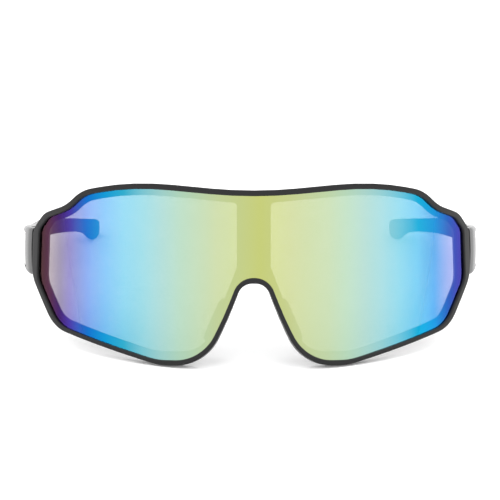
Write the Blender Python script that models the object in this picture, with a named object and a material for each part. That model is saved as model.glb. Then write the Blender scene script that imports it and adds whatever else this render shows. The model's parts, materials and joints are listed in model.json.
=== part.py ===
"""Wraparound shield sunglasses, modelled as the separate pieces they are assembled from.

The front is drawn as a flat pattern (u across, y back from the lens face, z up) and then
wrapped round the lens cylinder. Everything is built in the worn frame, where z = 0 is the
wearer's eye line, and a parent empty tips it onto the table: the two lens lobes and the two
ear tips stand on z = 0, and the origin is under the middle of the object.
"""

import math

import bmesh
import bpy
from mathutils import Matrix, Vector

MM = 0.001

# ---- Front: overall size and shell
HALF_SPAN = 85.5 * MM          # half the front's width, measured along the curved lens face
FRAME_HEIGHT = 58.9 * MM       # from the brow's crest to the bottom of the lobes
SHELL_RADIUS = 88.0 * MM       # radius of the lens's outer face
LENS_THICKNESS = 1.6 * MM
LIP_THICKNESS = 0.6 * MM       # the rim in front of the lens
FLANGE_THICKNESS = 1.4 * MM    # the frame behind the lens
EYE_DRAFT = 0.7                # widening of the eye openings, per unit of depth behind the lens
LENS_OVERLAP = 0.45 * MM       # how far the lip covers the lens edge
FIT_GAP = 0.3 * MM             # clearance between assembled pieces
WEB_HALF_WIDTH = 5.6 * MM      # centre web between the eye openings
COLUMN_PITCH = 3.9 * MM        # width of the strips that follow the lens's curve
SPLIT_TOLERANCE = 0.02 * MM    # points this near a strip's edge count as on it
ARC_STEP = math.radians(13.0)  # largest turn between two points of a rounded corner
EDGE_USE = 0.998               # most of an edge that its two rounded ends may take

# Corners of the left half outline: across as a share of HALF_SPAN, height as a share of
# FRAME_HEIGHT, and the corner's radius. Each is followed by the edge that starts there.
HALF_OUTLINE = (
    (0.000, 0.1368, 150.0 * MM),   # brow dip over the nose
    (0.465, 0.200, 110.0 * MM),    # brow crest
    (0.702, 0.152, 17.0 * MM),     # shoulder, upper
    (0.785, 0.069, 17.0 * MM),     # shoulder, hollow
    (0.914, 0.026, 9.0 * MM),      # temple corner, upper
    (0.988, -0.064, 6.0 * MM),     # temple corner, lower
    (0.999, -0.328, 10.0 * MM),    # side, lower end
    (0.853, -0.614, 16.0 * MM),    # cheek
    (0.359, -0.810, 26.0 * MM),    # lobe, outer end
    (0.1870, -0.810, 16.0 * MM),   # lobe, inner end
    (0.0970, -0.553, 110.0 * MM),  # nose flank, slightly bowed
    (0.0447, -0.361, 4.9 * MM),    # nose arch
)
# Widths along those edges: the rim seen from the front, then the flange inside it.
RIM_WIDTHS = tuple(w * MM for w in (1.9, 1.8, 1.9, 1.9, 2.4, 3.4, 2.0, 1.4, 1.75,
                                    1.5, 1.5, 1.85))
FLANGE_WIDTHS = tuple(w * MM for w in (2.0, 1.8, 1.2, 1.4, 1.4, 1.8, 1.5, 2.4, 2.8,
                                       1.8, 2.1))
EYE_CORNER_RADIUS = 4.0 * MM
WEB_CORNER_RADIUS = 1.3 * MM   # where the web meets the brow
WEB_FOOT_RADIUS = 3.5 * MM

# ---- Hinge: a fork on the front, an eye on the temple, one vertical screw through both
PIN_OUTBOARD = 1.2 * MM        # the screw's axis, outwards of the rim's rear side edge
PIN_BEHIND = 6.8 * MM          # and behind it
HINGE_HEIGHT = -11.5 * MM      # middle of the hinge, from the eye line
EYE_RADIUS = 2.5 * MM          # outside of the fork's leaves and of the temple's eye
EYE_HALF_HEIGHT = 1.7 * MM
WASHER_THICKNESS = 0.4 * MM
WASHER_RADIUS = 2.1 * MM
LEAF_THICKNESS = 2.8 * MM
LUG_WIDTH = 3.2 * MM           # where the lug leaves the flange, along the shell
LUG_EDGE_INSET = 0.7 * MM      # lug kept back from the rim's side edge
EYE_ROOT_LENGTH = 12.0 * MM    # how far behind the screw the temple's eye blends into the arm
EYE_ROOT_SINK = 1.0 * MM       # and how far it is sunk into the arm
SCREW_RADIUS = 0.7 * MM
SCREW_HEAD_RADIUS = 1.35 * MM
SCREW_HEAD_HEIGHT = 0.7 * MM
SCREW_SLOT_WIDTH = 0.4 * MM
SCREW_SLOT_DEPTH = 0.35 * MM
BUSH_WALL = 0.45 * MM
NUT_HEIGHT = 1.1 * MM
NUT_RECESS = 0.1 * MM          # nut below the fork's underside
ROUND_SIDES = 16
LUG_ROOT_STEPS = 4

# ---- Temples
TEMPLE_LENGTH = 115.5 * MM     # from the screw to the end of the ear tip, straight back
TEMPLE_FRONT = 8.6 * MM        # how far the arm reaches forward of the screw, before its mitre
WALL_CLEARANCE = 0.4 * MM      # between the rim's edge and the arm, and round the hinge
CUT_PAST = 4.0 * MM            # how far cutters reach past what they cut
POCKET_SIZE = 30.0 * MM        # the cut that clears the fork, inwards past the whole arm
ARM_CORNER = 1.3 * MM          # rounding of the arm's section
# Stations behind the screw: share of TEMPLE_LENGTH, outer face outboard of the screw,
# thickness, top edge and bottom edge from the eye line.
TEMPLE_STATIONS = (
    (-0.078, 2.1 * MM, 5.0 * MM, -3.3 * MM, -18.8 * MM),
    (-0.040, 3.8 * MM, 5.8 * MM, -3.2 * MM, -19.0 * MM),
    (0.030, 5.5 * MM, 7.2 * MM, -2.9 * MM, -17.6 * MM),
    (0.117, 6.4 * MM, 6.0 * MM, -2.6 * MM, -14.4 * MM),
    (0.247, 5.5 * MM, 4.3 * MM, -2.2 * MM, -9.2 * MM),
    (0.463, 2.3 * MM, 3.8 * MM, -0.3 * MM, -6.4 * MM),
    (0.680, -3.9 * MM, 3.5 * MM, -0.3 * MM, -5.3 * MM),
    (0.853, -9.2 * MM, 3.3 * MM, -0.4 * MM, -5.7 * MM),
    (0.930, -12.0 * MM, 3.3 * MM, -0.5 * MM, -8.2 * MM),
    (1.000, -13.7 * MM, 3.2 * MM, -0.8 * MM, -6.4 * MM),
)
TEMPLE_RINGS = 26
INSERT_RINGS = 14              # along the side panel
CORE_RINGS = 9                 # along the steel core, and along the ear tip
TIP_ROUNDING = 3.0 * MM        # length over which the ear tip closes
TIP_ANGLES = (math.radians(35), math.radians(65))  # turn of the rings that close it
TIP_SQUARENESS = 0.8           # share of a full round that its end takes
CORNER_SHARE = 0.4             # most of a section's width that one rounded corner may take
INLAY_START = 0.000            # the outer panel, as shares of TEMPLE_LENGTH
INLAY_END = 0.420
INLAY_MARGIN = 1.9 * MM        # arm kept above and below the panel
INLAY_DEPTH = 0.9 * MM
GRIP_START = 0.700             # where the rubber ear tip begins, as a share of TEMPLE_LENGTH
CORE_REACH = 17.0 * MM         # length of the steel core inside the arm
CORE_END = 10.0 * MM           # from the core's end to the end of the ear tip
CORE_THICKNESS = 1.1 * MM
CORE_HEIGHT = 2.6 * MM

# ---- Nose fins and pads
NOSE_FIN_START = 0.30          # along the straight nose flank, from the arch to the lobe
NOSE_FIN_LENGTH = 12.0 * MM
NOSE_FIN_DEPTH = 8.0 * MM      # how far the fins reach back from the flange
NOSE_FIN_THICKNESS = 1.0 * MM
NOSE_FIN_INSET = 2.2 * MM      # from the rim's nose edge to the middle of the fin
NOSE_SPLAY = math.radians(6.0)
NOSE_PAD_WALL = 0.8 * MM
NOSE_PAD_STANDOFF = 0.7 * MM   # pad behind the flange
NOSE_PAD_MARGIN = 1.5 * MM     # pad past the fin's ends
NOSE_PAD_FLOOR = 1.6 * MM      # pad behind the fin
NOSE_PAD_ROUNDING = 0.7 * MM

# ---- Standing on a table
REST_CUT = 0.35 * MM           # how much the flats take off the lobes and the ear tips
TABLE_SIZE = 300.0 * MM        # the block that cuts the flats, past the object all round
TILT_STEPS = 8                 # refinements of the tilt
SHARP_ANGLE = math.radians(32)


# ---------------------------------------------------------------- geometry helpers

def shell_point(u, depth, height):
    """Place a point of the flat pattern on the curved front."""
    radius = SHELL_RADIUS - depth
    angle = u / SHELL_RADIUS
    return Vector((radius * math.sin(angle), SHELL_RADIUS - radius * math.cos(angle), height))


def full_outline():
    """Corners and radii of the whole front, clockwise from the brow's dip."""
    left = [(Vector((across * HALF_SPAN, height * FRAME_HEIGHT)), radius)
             for across, height, radius in HALF_OUTLINE]
    right = [(Vector((-corner.x, corner.y)), radius) for corner, radius in reversed(left[1:])]
    return left + right


def mirrored(widths):
    """Edge widths of the whole front from those of its left half."""
    return list(widths) + list(reversed(widths[:-1]))


def inset_corners(corners, widths):
    """Move each edge of a clockwise outline inwards by its own width; edges stay straight."""
    count = len(corners)
    lines = []
    for index in range(count):
        start, end = corners[index][0], corners[(index + 1) % count][0]
        along = (end - start).normalized()
        lines.append((start + Vector((along.y, -along.x)) * widths[index], along))
    moved = []
    for index, (corner, radius) in enumerate(corners):
        (point_a, along_a), (point_b, along_b) = lines[index - 1], lines[index]
        turn = along_a.cross(along_b)
        step = (point_b - point_a).cross(along_b) / turn
        inward = (widths[index - 1] + widths[index]) / 2
        # A clockwise turn is an outer corner, whose radius shrinks with the inset.
        smaller = max(radius - inward, EYE_CORNER_RADIUS if inward > 0 else radius)
        moved.append((point_a + along_a * step, smaller if turn < 0 else radius + inward))
    return moved


def rounded(corners):
    """Points of a closed outline whose corners are arcs that share their edges' lengths."""
    count = len(corners)
    sides = []
    for index, (corner, radius) in enumerate(corners):
        back = corners[index - 1][0] - corner
        ahead = corners[(index + 1) % count][0] - corner
        half_turn = (math.pi - back.angle(ahead)) / 2
        sides.append((corner, back, ahead, half_turn, radius * math.tan(half_turn)))
    points = []
    for index, (corner, back, ahead, half_turn, reach) in enumerate(sides):
        room_back = back.length / (reach + sides[index - 1][4])
        room_ahead = ahead.length / (reach + sides[(index + 1) % count][4])
        reach *= min(1.0, room_back * EDGE_USE, room_ahead * EDGE_USE)
        start, end = corner + back.normalized() * reach, corner + ahead.normalized() * reach
        steps = max(2, math.ceil(2 * half_turn / ARC_STEP))
        arc_radius = reach / math.tan(half_turn)
        middle = (back.normalized() + ahead.normalized()).normalized()
        centre = corner + middle * math.hypot(arc_radius, reach)
        arm = start - centre
        sign = 1 if arm.cross(end - centre) > 0 else -1
        for step in range(steps + 1):
            turn = Matrix.Rotation(sign * 2 * half_turn * step / steps, 2)
            points.append(centre + turn @ arm)
    return points


def new_object(name, bm):
    """Finish a bmesh as an object of the scene."""
    bmesh.ops.recalc_face_normals(bm, faces=bm.faces[:])
    mesh = bpy.data.meshes.new(name)
    bm.to_mesh(mesh)
    bm.free()
    obj = bpy.data.objects.new(name, mesh)
    bpy.context.scene.collection.objects.link(obj)
    return obj


def loft(name, rings):
    """A closed solid through rings of equally many points, capped at both ends."""
    bm = bmesh.new()
    rows = [[bm.verts.new(point) for point in ring] for ring in rings]
    count = len(rows[0])
    for row, following in zip(rows, rows[1:]):
        for index in range(count):
            other = (index + 1) % count
            bm.faces.new((row[index], row[other], following[other], following[index]))
    bm.faces.new(rows[0][::-1])
    bm.faces.new(rows[-1])
    return new_object(name, bm)


def pattern_plate(name, corners, front, back, back_corners=None):
    """A flat plate of the pattern, between two depths, tapered to its back outline if it has one."""
    faces = ((corners, front), (back_corners or corners, back))
    return loft(name, [[Vector((p.x, depth, p.y)) for p in rounded(outline)]
                       for outline, depth in faces])


def plan_prism(name, outline, bottom, top):
    """An upright prism over a closed plan outline."""
    return loft(name, [[Vector((p.x, p.y, height)) for p in outline] for height in (bottom, top)])


def ring_points(centre, radius, sides=ROUND_SIDES):
    """Plan points of a circle."""
    return [centre + Vector((math.cos(2 * math.pi * i / sides),
                             math.sin(2 * math.pi * i / sides))) * radius for i in range(sides)]


def upright_cylinder(name, centre, radius, bottom, top):
    """A cylinder about a vertical axis."""
    return plan_prism(name, ring_points(centre, radius), bottom, top)


def combine(body, others, operation):
    """Join other solids to a body, or cut them from it, and drop them from the scene."""
    for other in others:
        modifier = body.modifiers.new(other.name, "BOOLEAN")
        modifier.operation = operation
        modifier.object = other
    depsgraph = bpy.context.evaluated_depsgraph_get()
    mesh = bpy.data.meshes.new_from_object(body.evaluated_get(depsgraph))
    body.modifiers.clear()
    body.data = mesh
    for other in others:
        bpy.data.objects.remove(other)
    return body


def wrap_on_shell(body):
    """Cut a pattern solid into narrow strips and wrap it round the lens cylinder."""
    bm = bmesh.new()
    bm.from_mesh(body.data)
    reach = max(abs(v.co.x) for v in bm.verts)
    columns = int(reach / COLUMN_PITCH)
    for column in range(-columns, columns + 1):
        bmesh.ops.bisect_plane(bm, geom=bm.verts[:] + bm.edges[:] + bm.faces[:], dist=SPLIT_TOLERANCE,
                               plane_co=(column * COLUMN_PITCH, 0, 0), plane_no=(1, 0, 0))
    bmesh.ops.triangulate(bm, faces=bm.faces[:])
    for vert in bm.verts:
        vert.co = shell_point(vert.co.x, vert.co.y, vert.co.z)
    bm.to_mesh(body.data)
    bm.free()
    return body


def mirror_copy(obj, name):
    """A copy of a solid on the other side of the object's middle plane."""
    bm = bmesh.new()
    bm.from_mesh(obj.data)
    bmesh.ops.scale(bm, vec=(-1, 1, 1), verts=bm.verts[:])
    bmesh.ops.reverse_faces(bm, faces=bm.faces[:])
    return new_object(name, bm)


def material(name, colour, roughness, metallic=0.0, alpha=1.0):
    """A plain finish."""
    finish = bpy.data.materials.new(name)
    finish.use_nodes = True
    shader = finish.node_tree.nodes["Principled BSDF"]
    shader.inputs["Base Color"].default_value = (*colour, 1.0)
    shader.inputs["Roughness"].default_value = roughness
    shader.inputs["Metallic"].default_value = metallic
    shader.inputs["Alpha"].default_value = alpha
    return finish


# ---------------------------------------------------------------- front

GROOVE_FRONT = -FIT_GAP
GROOVE_BACK = LENS_THICKNESS + FIT_GAP
RIM_FRONT = GROOVE_FRONT - LIP_THICKNESS
RIM_BACK = GROOVE_BACK + FLANGE_THICKNESS
FLANGE_MIDDLE = (GROOVE_BACK + RIM_BACK) / 2

RIM_SIDE = shell_point(HALF_SPAN, RIM_BACK, 0.0)
PIN = Vector((RIM_SIDE.x + PIN_OUTBOARD, RIM_SIDE.y + PIN_BEHIND))
LEAF_INNER = EYE_HALF_HEIGHT + 2 * FIT_GAP + WASHER_THICKNESS
LEAF_OUTER = LEAF_INNER + LEAF_THICKNESS


def lens_widths(clearance):
    """Inset of the lens edge, less a clearance, on every edge of the outline."""
    return mirrored([width - LENS_OVERLAP - clearance for width in RIM_WIDTHS])


def eye_opening(side, depth):
    """Corners of one eye opening at a depth, clockwise; side is +1 or -1."""
    spread = (depth - GROOVE_BACK) * EYE_DRAFT
    corners = [(Vector((across * HALF_SPAN, height * FRAME_HEIGHT)), radius)
               for across, height, radius in HALF_OUTLINE]
    web = Vector((0.0, -FRAME_HEIGHT))
    ring = corners + [(web, WEB_FOOT_RADIUS)]
    half_web = WEB_HALF_WIDTH - spread
    widths = [rim + flange - spread for rim, flange in zip(RIM_WIDTHS, FLANGE_WIDTHS)]
    inset = inset_corners(ring, widths + [0.0, half_web])
    # The web's edge replaces the arch: its foot is where it meets the inset nose flank.
    top, foot = inset[0][0], inset[len(corners) - 1][0]
    flank = (foot - inset[len(corners) - 2][0]).normalized()
    foot += flank * (half_web - foot.x) / flank.x
    opening = [(top, WEB_CORNER_RADIUS)] + inset[1:len(corners) - 1] + [(foot, WEB_FOOT_RADIUS)]
    if side > 0:
        return opening
    return [(Vector((-corner.x, corner.y)), radius) for corner, radius in reversed(opening)]


def half_circle(start):
    """Half of the hinge's round outline in plan, anticlockwise from an angle."""
    half = ROUND_SIDES // 2
    angles = [start + math.pi * i / half for i in range(half + 1)]
    return [PIN + Vector((math.cos(angle), math.sin(angle))) * EYE_RADIUS for angle in angles]


def hinge_lug():
    """The block behind the rim's left side that ends in the hinge fork."""
    root_end = HALF_SPAN - LUG_EDGE_INSET
    outline = [shell_point(root_end - LUG_WIDTH * (1 - i / LUG_ROOT_STEPS), FLANGE_MIDDLE, 0).xy
               for i in range(LUG_ROOT_STEPS + 1)]
    outline += half_circle(0.0)
    lug = plan_prism("lug", outline, HINGE_HEIGHT - LEAF_OUTER, HINGE_HEIGHT + LEAF_OUTER)
    slot_front = PIN.y - EYE_RADIUS - WALL_CLEARANCE
    slot = [Vector((PIN.x - 3 * EYE_RADIUS, slot_front)),
            Vector((PIN.x + 3 * EYE_RADIUS, slot_front)),
            Vector((PIN.x + 3 * EYE_RADIUS, PIN.y + 2 * EYE_RADIUS)),
            Vector((PIN.x - 3 * EYE_RADIUS, PIN.y + 2 * EYE_RADIUS))]
    head_floor = LEAF_OUTER - SCREW_HEAD_HEIGHT - FIT_GAP
    nut_floor = LEAF_OUTER - NUT_HEIGHT - FIT_GAP
    bore = SCREW_RADIUS + FIT_GAP
    cutters = [
        plan_prism("slot", slot, HINGE_HEIGHT - LEAF_INNER, HINGE_HEIGHT + LEAF_INNER),
        upright_cylinder("bore", PIN, bore, HINGE_HEIGHT - 2 * LEAF_OUTER,
                         HINGE_HEIGHT + 2 * LEAF_OUTER),
        upright_cylinder("head_seat", PIN, SCREW_HEAD_RADIUS + FIT_GAP,
                         HINGE_HEIGHT + head_floor, HINGE_HEIGHT + 2 * LEAF_OUTER),
        upright_cylinder("nut_seat", PIN, bore + BUSH_WALL + FIT_GAP,
                         HINGE_HEIGHT - 2 * LEAF_OUTER, HINGE_HEIGHT - nut_floor),
    ]
    return combine(lug, cutters, "DIFFERENCE")


def nose_frame():
    """Axes of the left nose fin: along the flank, backwards with its splay, and across."""
    lobe, _, arch = HALF_OUTLINE[-3:]
    low = shell_point(lobe[0] * HALF_SPAN, RIM_BACK, lobe[1] * FRAME_HEIGHT)
    high = shell_point(arch[0] * HALF_SPAN, RIM_BACK, arch[1] * FRAME_HEIGHT)
    along = (low - high).normalized()
    start = high + (low - high) * NOSE_FIN_START
    outward = along.cross(Vector((0, -1, 0))).normalized()
    if outward.x < 0:
        outward = -outward
    back = (Vector((0, 1, 0)) * math.cos(NOSE_SPLAY) + outward * math.sin(NOSE_SPLAY))
    back = (back - along * back.dot(along)).normalized()
    across = along.cross(back).normalized()
    origin = start + along * (NOSE_FIN_LENGTH / 2) + outward * NOSE_FIN_INSET
    frame = Matrix((along, back, across)).transposed().to_4x4()
    frame.translation = origin
    return frame


def block(name, frame, low, high):
    """A box given by two corners in a frame of its own."""
    rings = [[frame @ Vector((x, y, z)) for x, y in ((low[0], low[1]), (high[0], low[1]),
                                                     (high[0], high[1]), (low[0], high[1]))]
             for z in (low[2], high[2])]
    return loft(name, rings)


def nose_fin():
    """The left fin that carries a nose pad, rooted in the flange."""
    half = NOSE_FIN_LENGTH / 2
    return block("fin", nose_frame(), (-half, -FLANGE_THICKNESS / 2, -NOSE_FIN_THICKNESS / 2),
                 (half, NOSE_FIN_DEPTH, NOSE_FIN_THICKNESS / 2))


def build_front():
    """The moulded front: rim, lens groove, flange, web, hinge forks and nose fins."""
    outline = full_outline()
    front = pattern_plate("front_frame", outline, RIM_FRONT, RIM_BACK)
    groove_middle = (GROOVE_FRONT + GROOVE_BACK) / 2
    window = pattern_plate("window", inset_corners(outline, mirrored(RIM_WIDTHS)),
                           RIM_FRONT - CUT_PAST, groove_middle)
    groove = pattern_plate("groove", inset_corners(outline, lens_widths(FIT_GAP)),
                           GROOVE_FRONT, GROOVE_BACK)
    behind = RIM_BACK + FIT_GAP
    eyes = [pattern_plate("eye", eye_opening(side, groove_middle), groove_middle, behind,
                          eye_opening(side, behind)) for side in (1, -1)]
    combine(front, [window, groove] + eyes, "DIFFERENCE")
    wrap_on_shell(front)
    left = [hinge_lug(), nose_fin()]
    right = [mirror_copy(piece, piece.name + "_right") for piece in left]
    return combine(front, left + right, "UNION")


def build_lens():
    """The one-piece shield lens."""
    corners = inset_corners(full_outline(), lens_widths(0.0))
    return wrap_on_shell(pattern_plate("shield_lens", corners, 0.0, LENS_THICKNESS))


def build_nose_pad():
    """The left silicone pad, a sleeve that slides on the fin from behind."""
    frame = nose_frame()
    half = NOSE_FIN_LENGTH / 2
    slot = NOSE_FIN_THICKNESS / 2 + FIT_GAP
    front = NOSE_PAD_STANDOFF
    wall = slot + NOSE_PAD_WALL
    pad = block("nose_pad_left", Matrix.Identity(4), (-half - NOSE_PAD_MARGIN, front, -wall),
                (half + NOSE_PAD_MARGIN, NOSE_FIN_DEPTH + NOSE_PAD_FLOOR, wall))
    bevel = pad.modifiers.new("rounding", "BEVEL")
    bevel.width = NOSE_PAD_ROUNDING
    bevel.segments = 2
    cavity = block("cavity", Matrix.Identity(4), (-half - FIT_GAP, -front, -slot),
                   (half + FIT_GAP, NOSE_FIN_DEPTH + FIT_GAP, slot))
    combine(pad, [cavity], "DIFFERENCE")
    pad.data.transform(frame)
    return pad


# ---------------------------------------------------------------- temples

def temple_section(station):
    """Outer x, inner x, top and bottom of the left temple at a share of its length."""
    rows = TEMPLE_STATIONS
    station = min(max(station, rows[0][0]), rows[-1][0])
    index = max(i for i in range(len(rows) - 1) if rows[i][0] <= station)
    first, second = rows[index], rows[index + 1]
    span = second[0] - first[0]
    share = (station - first[0]) / span

    def slope(at, column):
        low, high = rows[max(at - 1, 0)], rows[min(at + 1, len(rows) - 1)]
        return (high[column] - low[column]) / (high[0] - low[0])

    values = []
    for column in range(1, 5):
        a, b = first[column], second[column]
        rise_a, rise_b = slope(index, column) * span, slope(index + 1, column) * span
        values.append(a + share * rise_a + share ** 2 * (3 * (b - a) - 2 * rise_a - rise_b)
                      + share ** 3 * (2 * (a - b) + rise_a + rise_b))
    outer = PIN.x + values[0]
    return outer, outer - values[1], values[2], values[3]


def temple_y(station):
    """Place along the worn frame's y of a share of the temple's length."""
    return PIN.y + station * TEMPLE_LENGTH


def section_ring(station, shrink=0.0):
    """A rounded rectangular ring of the left temple, drawn in by shrink all round."""
    outer, inner, top, bottom = temple_section(station)
    outer, inner, top, bottom = outer - shrink, inner + shrink, top - shrink, bottom + shrink
    radius = min(ARM_CORNER, (outer - inner) * CORNER_SHARE, (top - bottom) * CORNER_SHARE)
    ring = []
    for x, z, start in ((outer, top, 0), (inner, top, 90), (inner, bottom, 180),
                        (outer, bottom, 270)):
        centre = Vector((x + (radius if x == inner else -radius),
                         z + (radius if z == bottom else -radius)))
        for part in range(3):
            angle = math.radians(start + 45 * part)
            ring.append(Vector((centre.x + radius * math.cos(angle), temple_y(station),
                                centre.y + radius * math.sin(angle))))
    return ring


def stations(start, end, count):
    """Evenly spaced shares of the temple's length."""
    return [start + (end - start) * i / (count - 1) for i in range(count)]


def side_panel(name, start, end, margin, depth, proud):
    """A thin slab let into the temple's outer face between two stations."""
    rings = []
    for station in stations(start, end, INSERT_RINGS):
        outer, _, top, bottom = temple_section(station)
        rings.append([Vector((x, temple_y(station), z)) for x, z in (
            (outer + proud, top - margin), (outer + proud, bottom + margin),
            (outer - depth, bottom + margin), (outer - depth, top - margin))])
    return loft(name, rings)


def core_strip(name, start, end, thickness, height):
    """A flat strip along the middle of the temple."""
    rings = []
    for station in stations(start, end, CORE_RINGS):
        outer, inner, top, bottom = temple_section(station)
        x, z = (outer + inner) / 2, (top + bottom) / 2
        rings.append([Vector((x + dx * thickness / 2, temple_y(station), z + dz * height / 2))
                      for dx, dz in ((1, 1), (-1, 1), (-1, -1), (1, -1))])
    return loft(name, rings)


CORE_STATIONS = (GRIP_START - CORE_REACH / TEMPLE_LENGTH, 1.0 - CORE_END / TEMPLE_LENGTH)
GAP_STATION = FIT_GAP / TEMPLE_LENGTH


def core_slot(name):
    """The clearance slot round the steel core."""
    start, end = CORE_STATIONS
    return core_strip(name, start - GAP_STATION, end + GAP_STATION,
                      CORE_THICKNESS + 2 * FIT_GAP, CORE_HEIGHT + 2 * FIT_GAP)


def build_arm():
    """The left arm, with its hinge eye, the panel's recess and the core's slot."""
    start = -TEMPLE_FRONT / TEMPLE_LENGTH
    count = round(TEMPLE_RINGS * (GRIP_START - start) / (1.0 - start))
    arm = loft("temple_arm_left", [section_ring(s) for s in stations(start, GRIP_START, count)])

    around = inset_corners(full_outline(), mirrored([-WALL_CLEARANCE] * len(HALF_OUTLINE)))
    rim = wrap_on_shell(pattern_plate("rim_clearance", around, RIM_FRONT - CUT_PAST,
                                      RIM_BACK + CUT_PAST))
    # The pocket's outer side runs alongside the lug, from its root to the screw.
    reach = EYE_RADIUS + WALL_CLEARANCE
    lug_root = shell_point(HALF_SPAN - LUG_EDGE_INSET, FLANGE_MIDDLE, 0).xy
    beside = PIN + Vector((reach, 0.0))
    side = (beside - lug_root - Vector((WALL_CLEARANCE, 0.0))).normalized()
    outline = [beside - side * POCKET_SIZE, beside, PIN + Vector((reach, reach)),
               PIN + Vector((-POCKET_SIZE, reach)), PIN + Vector((-POCKET_SIZE, -POCKET_SIZE))]
    pocket = plan_prism("pocket", outline, HINGE_HEIGHT - POCKET_SIZE, HINGE_HEIGHT + POCKET_SIZE)
    # The eye's root runs back along the arm and ends inside it.
    root_outer, root_inner, _, _ = temple_section(EYE_ROOT_LENGTH / TEMPLE_LENGTH)
    root_back = PIN.y + EYE_ROOT_LENGTH
    eye_outline = [PIN + Vector((EYE_RADIUS, reach + EYE_ROOT_SINK)),
                   Vector(((root_outer + root_inner) / 2, root_back)),
                   Vector((root_inner + EYE_ROOT_SINK, root_back))] + half_circle(math.pi)
    eye = plan_prism("eye", eye_outline, HINGE_HEIGHT - EYE_HALF_HEIGHT,
                     HINGE_HEIGHT + EYE_HALF_HEIGHT)
    combine(arm, [rim, pocket], "DIFFERENCE")
    combine(arm, [eye], "UNION")
    bore = upright_cylinder("bore", PIN, SCREW_RADIUS + 2 * FIT_GAP + BUSH_WALL,
                            HINGE_HEIGHT - 2 * LEAF_OUTER, HINGE_HEIGHT + 2 * LEAF_OUTER)
    recess = side_panel("recess", INLAY_START - GAP_STATION, INLAY_END + GAP_STATION,
                        INLAY_MARGIN - FIT_GAP, INLAY_DEPTH + FIT_GAP, CUT_PAST)
    return combine(arm, [bore, recess, core_slot("core_slot")], "DIFFERENCE")


def build_grip():
    """The left rubber ear tip, closed and rounded at its end."""
    start = GRIP_START + GAP_STATION
    round_start = 1.0 - TIP_ROUNDING / TEMPLE_LENGTH
    rings = [section_ring(s) for s in stations(start, round_start, CORE_RINGS)]
    outer, inner, _, _ = temple_section(1.0)
    half = (outer - inner) / 2
    for angle in TIP_ANGLES:
        station = round_start + (1.0 - round_start) * math.sin(angle)
        rings.append(section_ring(station, half * TIP_SQUARENESS * (1 - math.cos(angle))))
    grip = loft("ear_grip_left", rings)
    return combine(grip, [core_slot("core_slot")], "DIFFERENCE")


# ---------------------------------------------------------------- hinge pieces

def sleeve(name, inner, outer, bottom, top):
    """A ring about the screw's axis; heights are from the hinge's middle."""
    ring = upright_cylinder(name, PIN, outer, HINGE_HEIGHT + bottom, HINGE_HEIGHT + top)
    hole = upright_cylinder("hole", PIN, inner, HINGE_HEIGHT + bottom - CUT_PAST,
                            HINGE_HEIGHT + top + CUT_PAST)
    return combine(ring, [hole], "DIFFERENCE")


def build_screw():
    """The slotted hinge screw."""
    head_bottom = LEAF_OUTER - SCREW_HEAD_HEIGHT
    rings = []
    for radius, height in ((SCREW_RADIUS, -LEAF_OUTER + FIT_GAP), (SCREW_RADIUS, head_bottom),
                           (SCREW_HEAD_RADIUS, head_bottom), (SCREW_HEAD_RADIUS, LEAF_OUTER)):
        rings.append([Vector((p.x, p.y, HINGE_HEIGHT + height))
                      for p in ring_points(PIN, radius)])
    screw = loft("hinge_screw_left", rings)
    frame = Matrix.Translation((PIN.x, PIN.y, HINGE_HEIGHT + LEAF_OUTER))
    slot = block("slot", frame, (-CUT_PAST, -SCREW_SLOT_WIDTH / 2, -SCREW_SLOT_DEPTH),
                 (CUT_PAST, SCREW_SLOT_WIDTH / 2, CUT_PAST))
    return combine(screw, [slot], "DIFFERENCE")


def build_hinge_pieces():
    """Nut, bushing and the two washers of the left hinge."""
    bore = SCREW_RADIUS + FIT_GAP
    washer = EYE_HALF_HEIGHT + FIT_GAP
    return [
        sleeve("hinge_nut_left", bore, bore + BUSH_WALL, -LEAF_OUTER + NUT_RECESS,
               -LEAF_OUTER + NUT_HEIGHT),
        sleeve("hinge_bushing_left", bore, bore + BUSH_WALL, -EYE_HALF_HEIGHT, EYE_HALF_HEIGHT),
        sleeve("hinge_washer_upper_left", bore, WASHER_RADIUS, washer,
               washer + WASHER_THICKNESS),
        sleeve("hinge_washer_lower_left", bore, WASHER_RADIUS, -washer - WASHER_THICKNESS,
               -washer),
    ]


# ---------------------------------------------------------------- assembly

def clear_scene():
    """Start from an empty scene."""
    for obj in list(bpy.data.objects):
        bpy.data.objects.remove(obj)


def lowest_point(obj, tilt):
    """The vertex that is lowest once the worn frame is tipped by tilt about x."""
    down = Matrix.Rotation(tilt, 3, "X")
    return min((v.co for v in obj.data.vertices), key=lambda co: (down @ co).z)


def table_tilt(front, grip):
    """Angle about x at which lobes and ear tips stand level, found by a few refinements."""
    tilt = 0.0
    for _ in range(TILT_STEPS):
        lobe, tip = lowest_point(front, tilt), lowest_point(grip, tilt)
        tilt = -math.atan2(tip.z - lobe.z, tip.y - lobe.y)
    return tilt


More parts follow.
